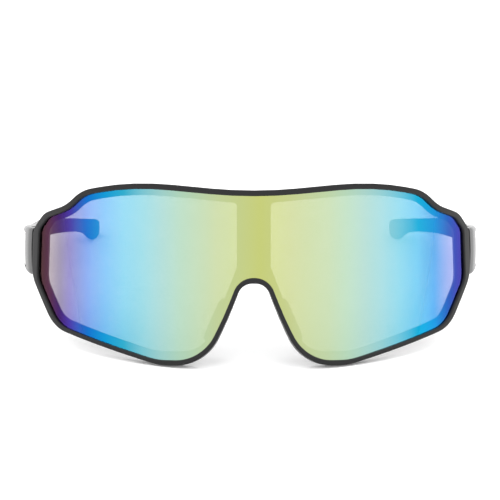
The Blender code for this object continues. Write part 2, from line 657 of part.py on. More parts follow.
def main():
    """Build every piece, cut the flats it stands on, and tip it onto the table."""
    clear_scene()
    front = build_front()
    lens = build_lens()
    pad = build_nose_pad()
    arm = build_arm()
    grip = build_grip()
    inlay = side_panel("temple_inlay_left", INLAY_START, INLAY_END, INLAY_MARGIN, INLAY_DEPTH, 0.0)
    core = core_strip("tip_core_left", *CORE_STATIONS, CORE_THICKNESS, CORE_HEIGHT)
    screw = build_screw()
    nut, bushing, washer_upper, washer_lower = build_hinge_pieces()

    tilt = table_tilt(front, grip)
    tipped = Matrix.Rotation(tilt, 4, "X")
    floor = (tipped @ lowest_point(front, tilt)).z + REST_CUT
    under = Matrix.Translation((0, 0, floor))
    for piece in (front, grip):
        table = block("table", tipped.inverted() @ under,
                      (-TABLE_SIZE, -TABLE_SIZE, -TABLE_SIZE), (TABLE_SIZE, TABLE_SIZE, 0.0))
        combine(piece, [table], "DIFFERENCE")
    # The object's middle, front to back, goes over the origin.
    spread = [(tipped @ v.co).y for piece in (front, grip) for v in piece.data.vertices]
    worn = bpy.data.objects.new("worn_frame", None)
    worn.matrix_world = (Matrix.Translation((0, -(min(spread) + max(spread)) / 2, -floor))
                         @ tipped)
    bpy.context.scene.collection.objects.link(worn)

    finishes = {
        "frame": material("frame_black", (0.012, 0.012, 0.013), 0.32),
        "lens": material("lens_mirror", (0.55, 0.72, 0.45), 0.08, metallic=0.6, alpha=0.75),
        "rubber": material("rubber_black", (0.016, 0.016, 0.017), 0.75),
        "inlay": material("inlay_gloss", (0.02, 0.02, 0.022), 0.15),
        "steel": material("steel", (0.62, 0.62, 0.64), 0.3, metallic=1.0),
        "brass": material("brass", (0.75, 0.58, 0.3), 0.35, metallic=1.0),
        "nylon": material("nylon", (0.75, 0.74, 0.7), 0.5),
    }
    dressed = ((front, "frame"), (lens, "lens"), (pad, "rubber"), (arm, "frame"), (grip, "rubber"),
               (inlay, "inlay"), (core, "steel"), (screw, "steel"), (nut, "brass"),
               (bushing, "brass"), (washer_upper, "nylon"), (washer_lower, "nylon"))
    for piece, finish in dressed:
        piece.data.materials.clear()
        piece.data.materials.append(finishes[finish])

    # Each temple hangs on an empty at its screw; the right side mirrors the left.
    hinges = {}
    for sign, side in ((1, "left"), (-1, "right")):
        hinge = bpy.data.objects.new("hinge_axis_" + side, None)
        hinge.parent = worn
        hinge.location = (sign * PIN.x, PIN.y, HINGE_HEIGHT)
        bpy.context.scene.collection.objects.link(hinge)
        hinges[side] = hinge
    moving = {arm, grip, inlay, core, bushing}
    for piece, _ in dressed:
        if piece in moving:
            piece.data.transform(Matrix.Translation(-hinges["left"].location))
        piece.parent = hinges["left"] if piece in moving else worn
        piece.data.set_sharp_from_angle(angle=SHARP_ANGLE)
        if piece.name.endswith("_left"):
            twin = mirror_copy(piece, piece.name.replace("_left", "_right"))
            twin.parent = hinges["right"] if piece in moving else worn
            twin.data.materials.append(piece.data.materials[0])
            twin.data.set_sharp_from_angle(angle=SHARP_ANGLE)


if __name__ == "__main__":
    main()
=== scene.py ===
"""Wraparound shield sunglasses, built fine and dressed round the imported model.

The front is drawn as a flat pattern (u across, depth back from the lens's outer face, height
up) and wrapped round the lens cylinder. Every piece is built in the worn frame, where z = 0 is
the wearer's eye line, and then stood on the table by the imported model's own hinge axis.
"""

import functools
import json
import logging
import math
from abc import ABC, abstractmethod
from dataclasses import dataclass
from enum import Enum

import bmesh
import bpy
from mathutils import Matrix, Vector


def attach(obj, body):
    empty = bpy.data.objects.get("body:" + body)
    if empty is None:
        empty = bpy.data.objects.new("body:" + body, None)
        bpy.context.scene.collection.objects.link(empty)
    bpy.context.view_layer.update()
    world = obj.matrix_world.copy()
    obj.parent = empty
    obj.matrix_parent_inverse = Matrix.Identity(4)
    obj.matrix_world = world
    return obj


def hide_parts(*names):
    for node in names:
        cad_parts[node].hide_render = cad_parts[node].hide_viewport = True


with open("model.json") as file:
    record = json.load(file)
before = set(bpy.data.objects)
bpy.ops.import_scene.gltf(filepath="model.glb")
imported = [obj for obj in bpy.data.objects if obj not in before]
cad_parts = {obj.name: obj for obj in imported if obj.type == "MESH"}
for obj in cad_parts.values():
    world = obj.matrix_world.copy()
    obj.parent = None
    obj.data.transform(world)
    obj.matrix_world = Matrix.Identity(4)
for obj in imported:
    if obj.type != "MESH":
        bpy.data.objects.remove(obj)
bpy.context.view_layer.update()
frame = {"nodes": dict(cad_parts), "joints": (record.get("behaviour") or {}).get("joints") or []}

logging.basicConfig(level=logging.INFO, format="%(message)s")
log = logging.getLogger("sunglasses")

MM = 0.001
SHARP_TURN = math.radians(35)      # edges that turn more than this stay crisp
ARC_STEP = math.radians(3.5)       # largest turn between two points of a rounded corner
EDGE_USE = 0.998                   # most of an edge that its two rounded ends may take
ROUND_SIDES = 48                   # sides of a turned piece
FILLET_STEPS = 5                   # strips across a rounded edge

Colour = tuple[float, float, float]
Corners = list[tuple[Vector, float]]
Points = list[Vector]
Pairs = list[tuple[float, float]]


class Side(Enum):
    """The wearer's two sides, by the sign of x."""

    LEFT = 1
    RIGHT = -1

    @property
    def word(self) -> str:
        """The ending of a piece's name on this side."""
        return self.name.lower()


class Slot(Enum):
    """The record's material slots."""

    FRAME = "frame"
    LENS = "lens"
    PADS = "pads"
    GRIPS = "grips"
    INLAY = "inlay"
    STEEL = "steel"
    BRASS = "brass"
    WASHER = "washer"


# ---------------------------------------------------------------- mesh tools

def new_object(name: str, bm: bmesh.types.BMesh) -> bpy.types.Object:
    """Finish a bmesh as an object of the scene.

    Args:
        name: the object's name.
        bm: the mesh being built, which is freed.

    Returns:
        The object, with its faces pointing out.
    """
    bmesh.ops.recalc_face_normals(bm, faces=bm.faces[:])
    mesh = bpy.data.meshes.new(name)
    bm.to_mesh(mesh)
    bm.free()
    obj = bpy.data.objects.new(name, mesh)
    bpy.context.scene.collection.objects.link(obj)
    return obj


def loft(name: str, rings: list[Points]) -> bpy.types.Object:
    """Skin rings of equally many points and cap both ends.

    Args:
        name: the object's name.
        rings: closed rings, in order.

    Returns:
        A closed solid.
    """
    bm = bmesh.new()
    rows = [[bm.verts.new(point) for point in ring] for ring in rings]
    count = len(rows[0])
    for row, following in zip(rows, rows[1:]):
        for index in range(count):
            other = (index + 1) % count
            bm.faces.new((row[index], row[other], following[other], following[index]))
    bm.faces.new(rows[0][::-1])
    bm.faces.new(rows[-1])
    return new_object(name, bm)


def turned_ring(name: str, axis: Vector, section: Pairs) -> bpy.types.Object:
    """Spin a closed section about an upright axis.

    Args:
        name: the object's name.
        axis: plan point of the axis.
        section: (radius, height) pairs round the section, none on the axis.

    Returns:
        A closed ring.
    """
    bm = bmesh.new()
    rows = []
    for radius, height in section:
        rows.append([bm.verts.new((*point, height)) for point in circle(axis, radius)])
    for row, following in zip(rows, rows[1:] + rows[:1]):
        for index in range(ROUND_SIDES):
            other = (index + 1) % ROUND_SIDES
            bm.faces.new((row[index], row[other], following[other], following[index]))
    return new_object(name, bm)


def turned_solid(name: str, axis: Vector, profile: Pairs) -> bpy.types.Object:
    """Spin an open profile about an upright axis and cap its ends.

    Args:
        name: the object's name.
        axis: plan point of the axis.
        profile: (radius, height) pairs from one end to the other.

    Returns:
        A closed solid of revolution.
    """
    return loft(name, [[Vector((*point, height)) for point in circle(axis, radius)]
                       for radius, height in profile])


def circle(centre: Vector, radius: float) -> Points:
    """Plan points of a circle.

    Args:
        centre: its plan centre.
        radius: its radius.

    Returns:
        ROUND_SIDES points, anticlockwise.
    """
    turns = [2 * math.pi * i / ROUND_SIDES for i in range(ROUND_SIDES)]
    return [centre + Vector((math.cos(turn), math.sin(turn))) * radius for turn in turns]


def plan_prism(name: str, outline: Points, bottom: float, top: float) -> bpy.types.Object:
    """Raise an upright prism over a plan outline.

    Args:
        name: the object's name.
        outline: closed plan outline.
        bottom: height of the lower face.
        top: height of the upper face.

    Returns:
        The prism.
    """
    return loft(name, [[Vector((p.x, p.y, height)) for p in outline] for height in (bottom, top)])


def block(name: str, place: Matrix, low: tuple, high: tuple) -> bpy.types.Object:
    """A box between two corners in a frame of its own.

    Args:
        name: the object's name.
        place: the box's frame.
        low: its lowest corner there.
        high: its highest corner there.

    Returns:
        The box.
    """
    sides = ((low[0], low[1]), (high[0], low[1]), (high[0], high[1]), (low[0], high[1]))
    return loft(name, [[place @ Vector((x, y, z)) for x, y in sides] for z in (low[2], high[2])])


def bake_modifiers(obj: bpy.types.Object) -> bpy.types.Object:
    """Apply an object's modifiers to its mesh, and return the object."""
    depsgraph = bpy.context.evaluated_depsgraph_get()
    mesh = bpy.data.meshes.new_from_object(obj.evaluated_get(depsgraph))
    obj.modifiers.clear()
    obj.data = mesh
    return obj


def combine(body: bpy.types.Object, others: list, operation: str) -> bpy.types.Object:
    """Join other solids to a body, or cut them from it, and drop them.

    Args:
        body: the solid that stays.
        others: the solids that join or cut it.
        operation: UNION or DIFFERENCE.

    Returns:
        The body.
    """
    for other in others:
        modifier = body.modifiers.new(other.name, "BOOLEAN")
        modifier.operation = operation
        modifier.object = other
    bake_modifiers(body)
    for other in others:
        bpy.data.objects.remove(other)
    return body


def soften(obj: bpy.types.Object, width: float, segments: int = 3) -> bpy.types.Object:
    """Round an object's crisp edges.

    Args:
        obj: a solid with plain edges.
        width: the rounding's width.
        segments: strips across it.

    Returns:
        The object.
    """
    bevel = obj.modifiers.new("rounding", "BEVEL")
    bevel.width = width
    bevel.segments = segments
    bevel.limit_method = "ANGLE"
    bevel.angle_limit = SHARP_TURN
    return bake_modifiers(obj)


def mirror_copy(obj: bpy.types.Object, name: str) -> bpy.types.Object:
    """Copy a solid to the other side of the middle plane.

    Args:
        obj: the solid.
        name: the copy's name.

    Returns:
        The copy, with the same materials.
    """
    bm = bmesh.new()
    bm.from_mesh(obj.data)
    bmesh.ops.scale(bm, vec=(-1, 1, 1), verts=bm.verts[:])
    bmesh.ops.reverse_faces(bm, faces=bm.faces[:])
    twin = new_object(name, bm)
    for material in obj.data.materials:
        twin.data.materials.append(material)
    return twin


def smooth(obj: bpy.types.Object) -> None:
    """Shade an object smooth between its crisp edges, with wide faces leading."""
    obj.data.shade_smooth()
    obj.data.set_sharp_from_angle(angle=SHARP_TURN)
    normals = obj.modifiers.new("wide_faces_lead", "WEIGHTED_NORMAL")
    normals.keep_sharp = True


# ---------------------------------------------------------------- the front's flat pattern

def inset_corners(corners: Corners, widths: list[float], least_radius: float) -> Corners:
    """Move each edge of a clockwise outline inwards by its own width.

    Args:
        corners: corner points with their radii.
        widths: one width for the edge that starts at each corner.
        least_radius: smallest radius that an outer corner may shrink to.

    Returns:
        The corners of the inset outline.
    """
    count = len(corners)
    lines = []
    for index in range(count):
        start, end = corners[index][0], corners[(index + 1) % count][0]
        along = (end - start).normalized()
        lines.append((start + Vector((along.y, -along.x)) * widths[index], along))
    moved = []
    for index, (_, radius) in enumerate(corners):
        (point_a, along_a), (point_b, along_b) = lines[index - 1], lines[index]
        turn = along_a.cross(along_b)
        step = (point_b - point_a).cross(along_b) / turn
        inward = (widths[index - 1] + widths[index]) / 2
        smaller = max(radius - inward, least_radius if inward > 0 else radius)
        moved.append((point_a + along_a * step, smaller if turn < 0 else radius + inward))
    return moved


def rounded(corners: Corners) -> Points:
    """Draw a closed outline whose corners are arcs that share their edges' lengths.

    Args:
        corners: corner points with their radii.

    Returns:
        The outline's points.
    """
    count = len(corners)
    sides = []
    for index, (corner, radius) in enumerate(corners):
        back = corners[index - 1][0] - corner
        ahead = corners[(index + 1) % count][0] - corner
        half_turn = (math.pi - back.angle(ahead)) / 2
        sides.append((corner, back, ahead, half_turn, radius * math.tan(half_turn)))
    points = []
    for index, (corner, back, ahead, half_turn, reach) in enumerate(sides):
        room_back = back.length / (reach + sides[index - 1][4])
        room_ahead = ahead.length / (reach + sides[(index + 1) % count][4])
        reach *= min(1.0, room_back * EDGE_USE, room_ahead * EDGE_USE)
        start, end = corner + back.normalized() * reach, corner + ahead.normalized() * reach
        steps = max(2, math.ceil(2 * half_turn / ARC_STEP))
        middle = (back.normalized() + ahead.normalized()).normalized()
        centre = corner + middle * math.hypot(reach / math.tan(half_turn), reach)
        arm = start - centre
        sign = 1 if arm.cross(end - centre) > 0 else -1
        for step in range(steps + 1):
            points.append(centre + Matrix.Rotation(sign * 2 * half_turn * step / steps, 2) @ arm)
    return points


def inset_loop(loop: Points, inset: float) -> Points:
    """Draw a clockwise loop in by a small distance, point by point.

    Args:
        loop: closed plan outline.
        inset: how far it moves in; negative moves it out.

    Returns:
        As many points as the loop has.
    """
    moved = []
    for index, point in enumerate(loop):
        before = (point - loop[index - 1]).normalized()
        after = (loop[(index + 1) % len(loop)] - point).normalized()
        along = (before + after).normalized()
        moved.append(point + Vector((along.y, -along.x)) * inset / along.dot(after))
    return moved


def quarter_round(radius: float, steps: int = FILLET_STEPS) -> Pairs:
    """Steps round a quarter circle.

    Args:
        radius: the fillet's radius.
        steps: strips across it.

    Returns:
        (inset, rise) pairs from (radius, 0) to (0, radius).
    """
    turns = [math.pi / 2 * i / steps for i in range(steps + 1)]
    return [(radius * (1 - math.sin(turn)), radius * (1 - math.cos(turn))) for turn in turns]


@dataclass(frozen=True)
class FrontPattern:
    """The front's flat pattern and the cylinder that it is wrapped round."""

    half_span: float = 85.5 * MM
    height: float = 58.9 * MM
    shell_radius: float = 88.0 * MM
    lens_thickness: float = 1.6 * MM
    lip_thickness: float = 0.6 * MM
    flange_thickness: float = 1.4 * MM
    eye_draft: float = 0.7         # widening of the eye openings, per unit of depth
    lens_overlap: float = 0.45 * MM
    fit_gap: float = 0.3 * MM
    seat_gap: float = 0.08 * MM    # between the lip and the lens's face
    web_half_width: float = 5.6 * MM
    eye_corner_radius: float = 4.0 * MM
    web_corner_radius: float = 1.3 * MM
    web_foot_radius: float = 3.5 * MM
    column_pitch: float = 1.2 * MM
    # Corners of the left half: across as a share of half_span, height as a share of height,
    # and the corner's radius.
    half_outline: tuple = (
        (0.000, 0.1368, 150.0 * MM),
        (0.465, 0.200, 110.0 * MM),
        (0.702, 0.152, 17.0 * MM),
        (0.785, 0.069, 17.0 * MM),
        (0.914, 0.026, 9.0 * MM),
        (0.988, -0.064, 6.0 * MM),
        (0.999, -0.328, 10.0 * MM),
        (0.853, -0.614, 16.0 * MM),
        (0.359, -0.810, 26.0 * MM),
        (0.1870, -0.810, 16.0 * MM),
        (0.0970, -0.553, 110.0 * MM),
        (0.0447, -0.361, 4.9 * MM),
    )
    # Along those edges, in mm: the rim seen from the front, then the flange inside it.
    rim_widths: tuple = (1.9, 1.8, 1.9, 1.9, 2.4, 3.4, 2.0, 1.4, 1.75, 1.5, 1.5, 1.85)
    flange_widths: tuple = (2.0, 1.8, 1.2, 1.4, 1.4, 1.8, 1.5, 2.4, 2.8, 1.8, 2.1)

    @property
    def groove_front(self) -> float:
        """Depth of the groove's front wall."""
        return -self.seat_gap

    @property
    def groove_back(self) -> float:
        """Depth of the groove's rear wall."""
        return self.lens_thickness + self.fit_gap

    @property
    def rim_front(self) -> float:
        """Depth of the rim's front face."""
        return -self.fit_gap - self.lip_thickness

    @property
    def rim_back(self) -> float:
        """Depth of the rim's rear face."""
        return self.groove_back + self.flange_thickness

    def on_shell(self, u: float, depth: float, height: float) -> Vector:
        """Place a point of the flat pattern on the curved front.

        Args:
            u: distance across the pattern.
            depth: distance back from the lens's outer face.
            height: distance up from the eye line.

        Returns:
            The point in the worn frame.
        """
        radius, turn = self.shell_radius - depth, u / self.shell_radius
        return Vector((radius * math.sin(turn), self.shell_radius - radius * math.cos(turn), height))

    def corner(self, index: int) -> Vector:
        """One corner of the left half outline, in the flat pattern."""
        across, up, _ = self.half_outline[index]
        return Vector((across * self.half_span, up * self.height))

    def left_corners(self) -> Corners:
        """The left half's corners with their radii."""
        return [(self.corner(i), row[2]) for i, row in enumerate(self.half_outline)]

    def outline(self) -> Corners:
        """Corners of the whole front, clockwise from the brow's dip."""
        left = self.left_corners()
        return left + [(Vector((-p.x, p.y)), radius) for p, radius in reversed(left[1:])]

    def inset(self, widths_mm: list[float]) -> Corners:
        """Draw the whole outline in by the left half's edge widths.

        Args:
            widths_mm: one width for each edge of the left half.

        Returns:
            The corners of the inset outline.
        """
        both = [w * MM for w in widths_mm + list(reversed(widths_mm[:-1]))]
        return inset_corners(self.outline(), both, self.eye_corner_radius)

    def window(self) -> Corners:
        """The rim's inner edge."""
        return self.inset(list(self.rim_widths))

    def lens_edge(self, clearance: float) -> Corners:
        """The lens's edge, or the groove's with the fit's clearance."""
        hidden = (self.lens_overlap + clearance) / MM
        return self.inset([width - hidden for width in self.rim_widths])

    def eye(self, side: Side) -> Corners:
        """Outline one eye opening of the flange.

        Args:
            side: which eye.

        Returns:
            Its corners, clockwise.
        """
        corners = self.left_corners()
        ring = corners + [(Vector((0.0, -self.height)), self.web_foot_radius)]
        widths = [(rim + flange) * MM for rim, flange in zip(self.rim_widths, self.flange_widths)]
        inset = inset_corners(ring, widths + [0.0, self.web_half_width], self.eye_corner_radius)
        top, foot = inset[0][0], inset[len(corners) - 1][0]
        flank = (foot - inset[len(corners) - 2][0]).normalized()
        foot = foot + flank * (self.web_half_width - foot.x) / flank.x
        opening = [(top, self.web_corner_radius)] + inset[1:len(corners) - 1]
        opening.append((foot, self.web_foot_radius))
        if side is Side.LEFT:
            return opening
        return [(Vector((-p.x, p.y)), radius) for p, radius in reversed(opening)]

    def plate(self, name: str, corners: Corners, profile: Pairs) -> bpy.types.Object:
        """Make a plate of the pattern whose edge follows a profile.

        Args:
            name: the object's name.
            corners: the plate's outline.
            profile: (inset, depth) pairs from front to back.

        Returns:
            The flat plate.
        """
        loop = rounded(corners)
        rings = [[Vector((p.x, depth, p.y)) for p in inset_loop(loop, inset)]
                 for inset, depth in profile]
        return loft(name, rings)

    def wrap(self, body: bpy.types.Object) -> bpy.types.Object:
        """Cut a pattern solid into narrow strips and wrap it round the lens cylinder."""
        bm = bmesh.new()
        bm.from_mesh(body.data)
        columns = int(max(abs(v.co.x) for v in bm.verts) / self.column_pitch)
        for column in range(-columns, columns + 1):
            bmesh.ops.bisect_plane(bm, geom=bm.verts[:] + bm.edges[:] + bm.faces[:],
                                   dist=0.01 * MM, plane_no=(1, 0, 0),
                                   plane_co=(column * self.column_pitch, 0, 0))
        bmesh.ops.triangulate(bm, faces=bm.faces[:])
        for vert in bm.verts:
            vert.co = self.on_shell(*vert.co)
        bm.to_mesh(body.data)
        bm.free()
        return body


PATTERN = FrontPattern()


# ---------------------------------------------------------------- hinge and nose sizes

@dataclass(frozen=True)
class HingePlan:
    """Sizes of the fork on the front, the eye on the temple and what goes through both."""

    pin_outboard: float = 1.2 * MM
    pin_behind: float = 6.8 * MM
    middle: float = -11.5 * MM
    eye_radius: float = 2.5 * MM
    eye_half_height: float = 1.7 * MM
    washer_thickness: float = 0.4 * MM
    washer_radius: float = 2.1 * MM
    leaf_thickness: float = 2.8 * MM
    lug_width: float = 3.2 * MM
    lug_edge_inset: float = 0.7 * MM
    root_length: float = 12.0 * MM
    screw_radius: float = 0.7 * MM
    head_radius: float = 1.35 * MM
    head_height: float = 0.7 * MM
    slot_width: float = 0.4 * MM
    slot_depth: float = 0.35 * MM
    bush_wall: float = 0.45 * MM
    nut_height: float = 1.1 * MM
    wall_clearance: float = 0.4 * MM
    rounding: float = 0.15 * MM
    root_steps: int = 10

    @property
    def pin(self) -> Vector:
        """Plan point of the left screw's axis."""
        side = PATTERN.on_shell(PATTERN.half_span, PATTERN.rim_back, 0.0)
        return Vector((side.x + self.pin_outboard, side.y + self.pin_behind))

    @property
    def centre(self) -> Vector:
        """Middle of the left hinge."""
        return self.pin.to_3d() + Vector((0, 0, self.middle))

    @property
    def leaf_inner(self) -> float:
        """Height from the hinge's middle to the fork's inner faces."""
        return self.eye_half_height + 2 * PATTERN.fit_gap + self.washer_thickness

    @property
    def leaf_outer(self) -> float:
        """Height from the hinge's middle to the fork's outer faces."""
        return self.leaf_inner + self.leaf_thickness

    @property
    def bore(self) -> float:
        """Radius of the screw's hole in the fork."""
        return self.screw_radius + PATTERN.fit_gap

    def half_circle(self, start: float) -> Points:
        """Half of the hinge's round outline in plan.

        Args:
            start: the angle it starts at, going anticlockwise.

        Returns:
            Its plan points.
        """
        half = ROUND_SIDES // 2
        turns = [start + math.pi * i / half for i in range(half + 1)]
        return [self.pin + Vector((math.cos(turn), math.sin(turn))) * self.eye_radius
                for turn in turns]

    def cylinder(self, name: str, radius: float, bottom: float, top: float) -> bpy.types.Object:
        """An upright cylinder on the pin; heights are from the hinge's middle."""
        return turned_solid(name, self.pin, [(radius, self.middle + bottom),
                                             (radius, self.middle + top)])

    def countersunk(self, name: str, radius: float, floor: float, mouth: float,
                    chamfer: float) -> bpy.types.Object:
        """A cutter for a seat with a chamfered mouth.

        Args:
            name: the cutter's name.
            radius: the seat's radius.
            floor: height of its floor from the hinge's middle.
            mouth: height of the face it opens in.
            chamfer: size of the mouth's chamfer.

        Returns:
            The cutter, standing proud of the mouth.
        """
        outward = 1 if mouth > floor else -1
        profile = [(radius, floor), (radius, mouth - outward * chamfer),
                   (radius + 2 * chamfer, mouth + outward * chamfer)]
        return turned_solid(name, self.pin, [(r, self.middle + z) for r, z in profile])


@dataclass(frozen=True)
class NosePlan:
    """Sizes of the nose fins on the front and the cushions that slide on them."""

    fin_start: float = 0.30
    fin_length: float = 12.0 * MM
    fin_depth: float = 8.0 * MM
    fin_thickness: float = 1.0 * MM
    fin_inset: float = 2.2 * MM
    splay: float = math.radians(6.0)
    pad_wall: float = 0.8 * MM
    pad_standoff: float = 0.7 * MM
    pad_margin: float = 1.5 * MM
    pad_floor: float = 1.6 * MM

    @property
    def place(self) -> Matrix:
        """The left fin's axes: along the flank, backwards with its splay, and across."""
        lobe, arch = PATTERN.corner(-3), PATTERN.corner(-1)
        low = PATTERN.on_shell(lobe.x, PATTERN.rim_back, lobe.y)
        high = PATTERN.on_shell(arch.x, PATTERN.rim_back, arch.y)
        along = (low - high).normalized()
        outward = along.cross(Vector((0, -1, 0))).normalized()
        if outward.x < 0:
            outward = -outward
        back = Vector((0, 1, 0)) * math.cos(self.splay) + outward * math.sin(self.splay)
        back = (back - along * back.dot(along)).normalized()
        axes = Matrix((along, back, along.cross(back).normalized())).transposed().to_4x4()
        start = high + (low - high) * self.fin_start
        axes.translation = start + along * (self.fin_length / 2) + outward * self.fin_inset
        return axes


HINGE = HingePlan()
NOSE = NosePlan()


def stand_matrix() -> Matrix:
    """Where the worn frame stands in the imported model, from the left hinge's joint.

    Returns:
        The matrix from the worn frame to the row frame.
    """
    joint = next(j for j in frame["joints"] if j["name"] == "temple_fold_left")
    tipped = Matrix.Rotation(-math.asin(joint["axis"][1]), 4, "X")
    return Matrix.Translation(Vector(joint["pos_m"]) - tipped @ HINGE.centre) @ tipped


def stand_on_table(obj: bpy.types.Object, stand: Matrix) -> bpy.types.Object:
    """Tip a piece onto the table and cut the flat that it rests on.

    Args:
        obj: a piece in the worn frame.
        stand: the matrix that tips it.

    Returns:
        The piece in the row frame.
    """
    obj.data.transform(stand)
    bm = bmesh.new()
    bm.from_mesh(obj.data)
    bmesh.ops.bisect_plane(bm, geom=bm.verts[:] + bm.edges[:] + bm.faces[:], dist=0.002 * MM,
                           plane_co=(0, 0, 0), plane_no=(0, 0, 1), clear_inner=True)
    bmesh.ops.holes_fill(bm, edges=[edge for edge in bm.edges if edge.is_boundary], sides=0)
    bm.to_mesh(obj.data)
    bm.free()
    return obj


# ---------------------------------------------------------------- shader effects

class Wiring:
    """A node tree with short ways to add nodes and join them."""

    def __init__(self, tree: bpy.types.NodeTree) -> None:
        """Wrap a node tree."""
        self.tree = tree

    def add(self, kind: str, values: dict | None = None, **settings: object) -> bpy.types.Node:
        """Add a node.

        Args:
            kind: its type, without the ShaderNode prefix.
            values: input names with a number, a colour or the output that feeds them.
            **settings: the node's own settings.

        Returns:
            The node.
        """
        node = self.tree.nodes.new("ShaderNode" + kind)
        for name, value in settings.items():
            setattr(node, name, value)
        self.feed(node, values or {})
        return node

    def feed(self, node: bpy.types.Node, values: dict) -> None:
        """Set or join a node's inputs.

        Args:
            node: the node.
            values: input names or numbers, with a value or an output socket.
        """
        for name, value in values.items():
            socket = node.inputs[name]
            if isinstance(value, bpy.types.NodeSocket):
                self.tree.links.new(value, socket)
            else:
                socket.default_value = value

    def math(self, operation: str, *terms: object, clamp: bool = False) -> bpy.types.NodeSocket:
        """Add a Math node.

        Args:
            operation: its operation.
            *terms: numbers or outputs, in order.
            clamp: keep the result between 0 and 1.

        Returns:
            Its output.
        """
        node = self.add("Math", operation=operation, use_clamp=clamp)
        self.feed(node, dict(enumerate(terms)))
        return node.outputs[0]

    def blend(self, share: object, first: object, second: object) -> bpy.types.NodeSocket:
        """Mix two colours.

        Args:
            share: how much of the second shows.
            first: the colour at 0.
            second: the colour at 1.

        Returns:
            The mixed colour.
        """
        node = self.add("Mix", data_type="RGBA")
        self.feed(node, {0: share, 6: first, 7: second})
        return node.outputs[2]

    def effect(self, tree: bpy.types.NodeTree, **values: object) -> bpy.types.Node:
        """Place a shader effect.

        Args:
            tree: the effect's node group.
            **values: its inputs, with spaces written as underscores.

        Returns:
            The group node.
        """
        node = self.add("Group", node_tree=tree)
        self.feed(node, {name.replace("_", " "): value for name, value in values.items()})
        return node


def new_effect(name: str, inputs: dict[str, float], outputs: dict[str, str]) -> tuple:
    """Start a node group with number inputs.

    Args:
        name: the group's name.
        inputs: input names with their usual values.
        outputs: output names with Float, Color or Vector.

    Returns:
        Its Wiring, its input node and its output node.
    """
    tree = bpy.data.node_groups.new(name, "ShaderNodeTree")
    for label, usual in inputs.items():
        socket = tree.interface.new_socket(label, in_out="INPUT", socket_type="NodeSocketFloat")
        socket.default_value = usual
    for label, kind in outputs.items():
        tree.interface.new_socket(label, in_out="OUTPUT", socket_type="NodeSocket" + kind)
    return Wiring(tree), tree.nodes.new("NodeGroupInput"), tree.nodes.new("NodeGroupOutput")


@functools.cache
def moulded_grain() -> bpy.types.NodeTree:
    """The spark-eroded grain that a mould leaves, with a broad change of tone.

    Returns:
        A group with Height, the grain, and Tone, the broad change.
    """
    sheet, given, out = new_effect("moulded_grain", {"Grains per metre": 3500.0, "Broad": 60.0},
                                   {"Height": "Float", "Tone": "Float"})
    place = sheet.add("TexCoord").outputs["Object"]
    fine = sheet.add("TexNoise", {"Vector": place, "Scale": given.outputs[0], "Detail": 2.0,
                                  "Roughness": 0.55})
    cells = sheet.add("TexVoronoi", {"Vector": place, "Scale": given.outputs[0],
                                     "Randomness": 1.0}, feature="SMOOTH_F1")
    broad = sheet.add("TexNoise", {"Vector": place, "Scale": given.outputs[1], "Detail": 3.0})
    height = sheet.math("MULTIPLY_ADD", cells.outputs["Distance"], 0.5, fine.outputs[0])
    sheet.feed(out, {"Height": height, "Tone": broad.outputs[0]})
    return sheet.tree


@functools.cache
def softened_edges() -> bpy.types.NodeTree:
    """Edges rubbed by handling: a mask that is broken up by noise, and a rounded normal.

    Returns:
        A group with Mask, 1 where an edge is worn, and Normal.
    """
    sheet, given, out = new_effect("softened_edges", {"Radius": 0.0002, "Amount": 1.0,
                                                      "Patches per metre": 700.0},
                                   {"Mask": "Float", "Normal": "Vector"})
    place = sheet.add("TexCoord").outputs["Object"]
    bevel = sheet.add("Bevel", {"Radius": given.outputs[0]}, samples=4)
    plain = sheet.add("NewGeometry").outputs["Normal"]
    facing = sheet.add("VectorMath", operation="DOT_PRODUCT")
    sheet.feed(facing, {0: bevel.outputs[0], 1: plain})
    bent = sheet.math("SUBTRACT", 1.0, facing.outputs["Value"])
    patches = sheet.add("TexNoise", {"Vector": place, "Scale": given.outputs[2], "Detail": 4.0})
    broken = sheet.math("MULTIPLY_ADD", patches.outputs[0], 1.6, -0.3, clamp=True)
    mask = sheet.math("MULTIPLY", sheet.math("MULTIPLY", bent, 6.0, clamp=True), broken)
    sheet.feed(out, {"Mask": sheet.math("MULTIPLY", mask, given.outputs[1], clamp=True),
                     "Normal": bevel.outputs[0]})
    return sheet.tree


@functools.cache
def handling_marks() -> bpy.types.NodeTree:
    """Faint smears and dust left by handling.

    Returns:
        A group with Smear, a broad soft mask, and Dust, small separate specks.
    """
    sheet, given, out = new_effect("handling_marks", {"Smears per metre": 70.0,
                                                      "Specks per metre": 900.0},
                                   {"Smear": "Float", "Dust": "Float"})
    place = sheet.add("TexCoord").outputs["Object"]
    smear = sheet.add("TexNoise", {"Vector": place, "Scale": given.outputs[0], "Detail": 5.0,
                                   "Roughness": 0.6, "Distortion": 0.8})
    specks = sheet.add("TexVoronoi", {"Vector": place, "Scale": given.outputs[1],
                                      "Randomness": 1.0})
    rare = sheet.math("LESS_THAN", specks.outputs["Distance"], 0.06)
    sheet.feed(out, {"Smear": smear.outputs[0], "Dust": rare})
    return sheet.tree


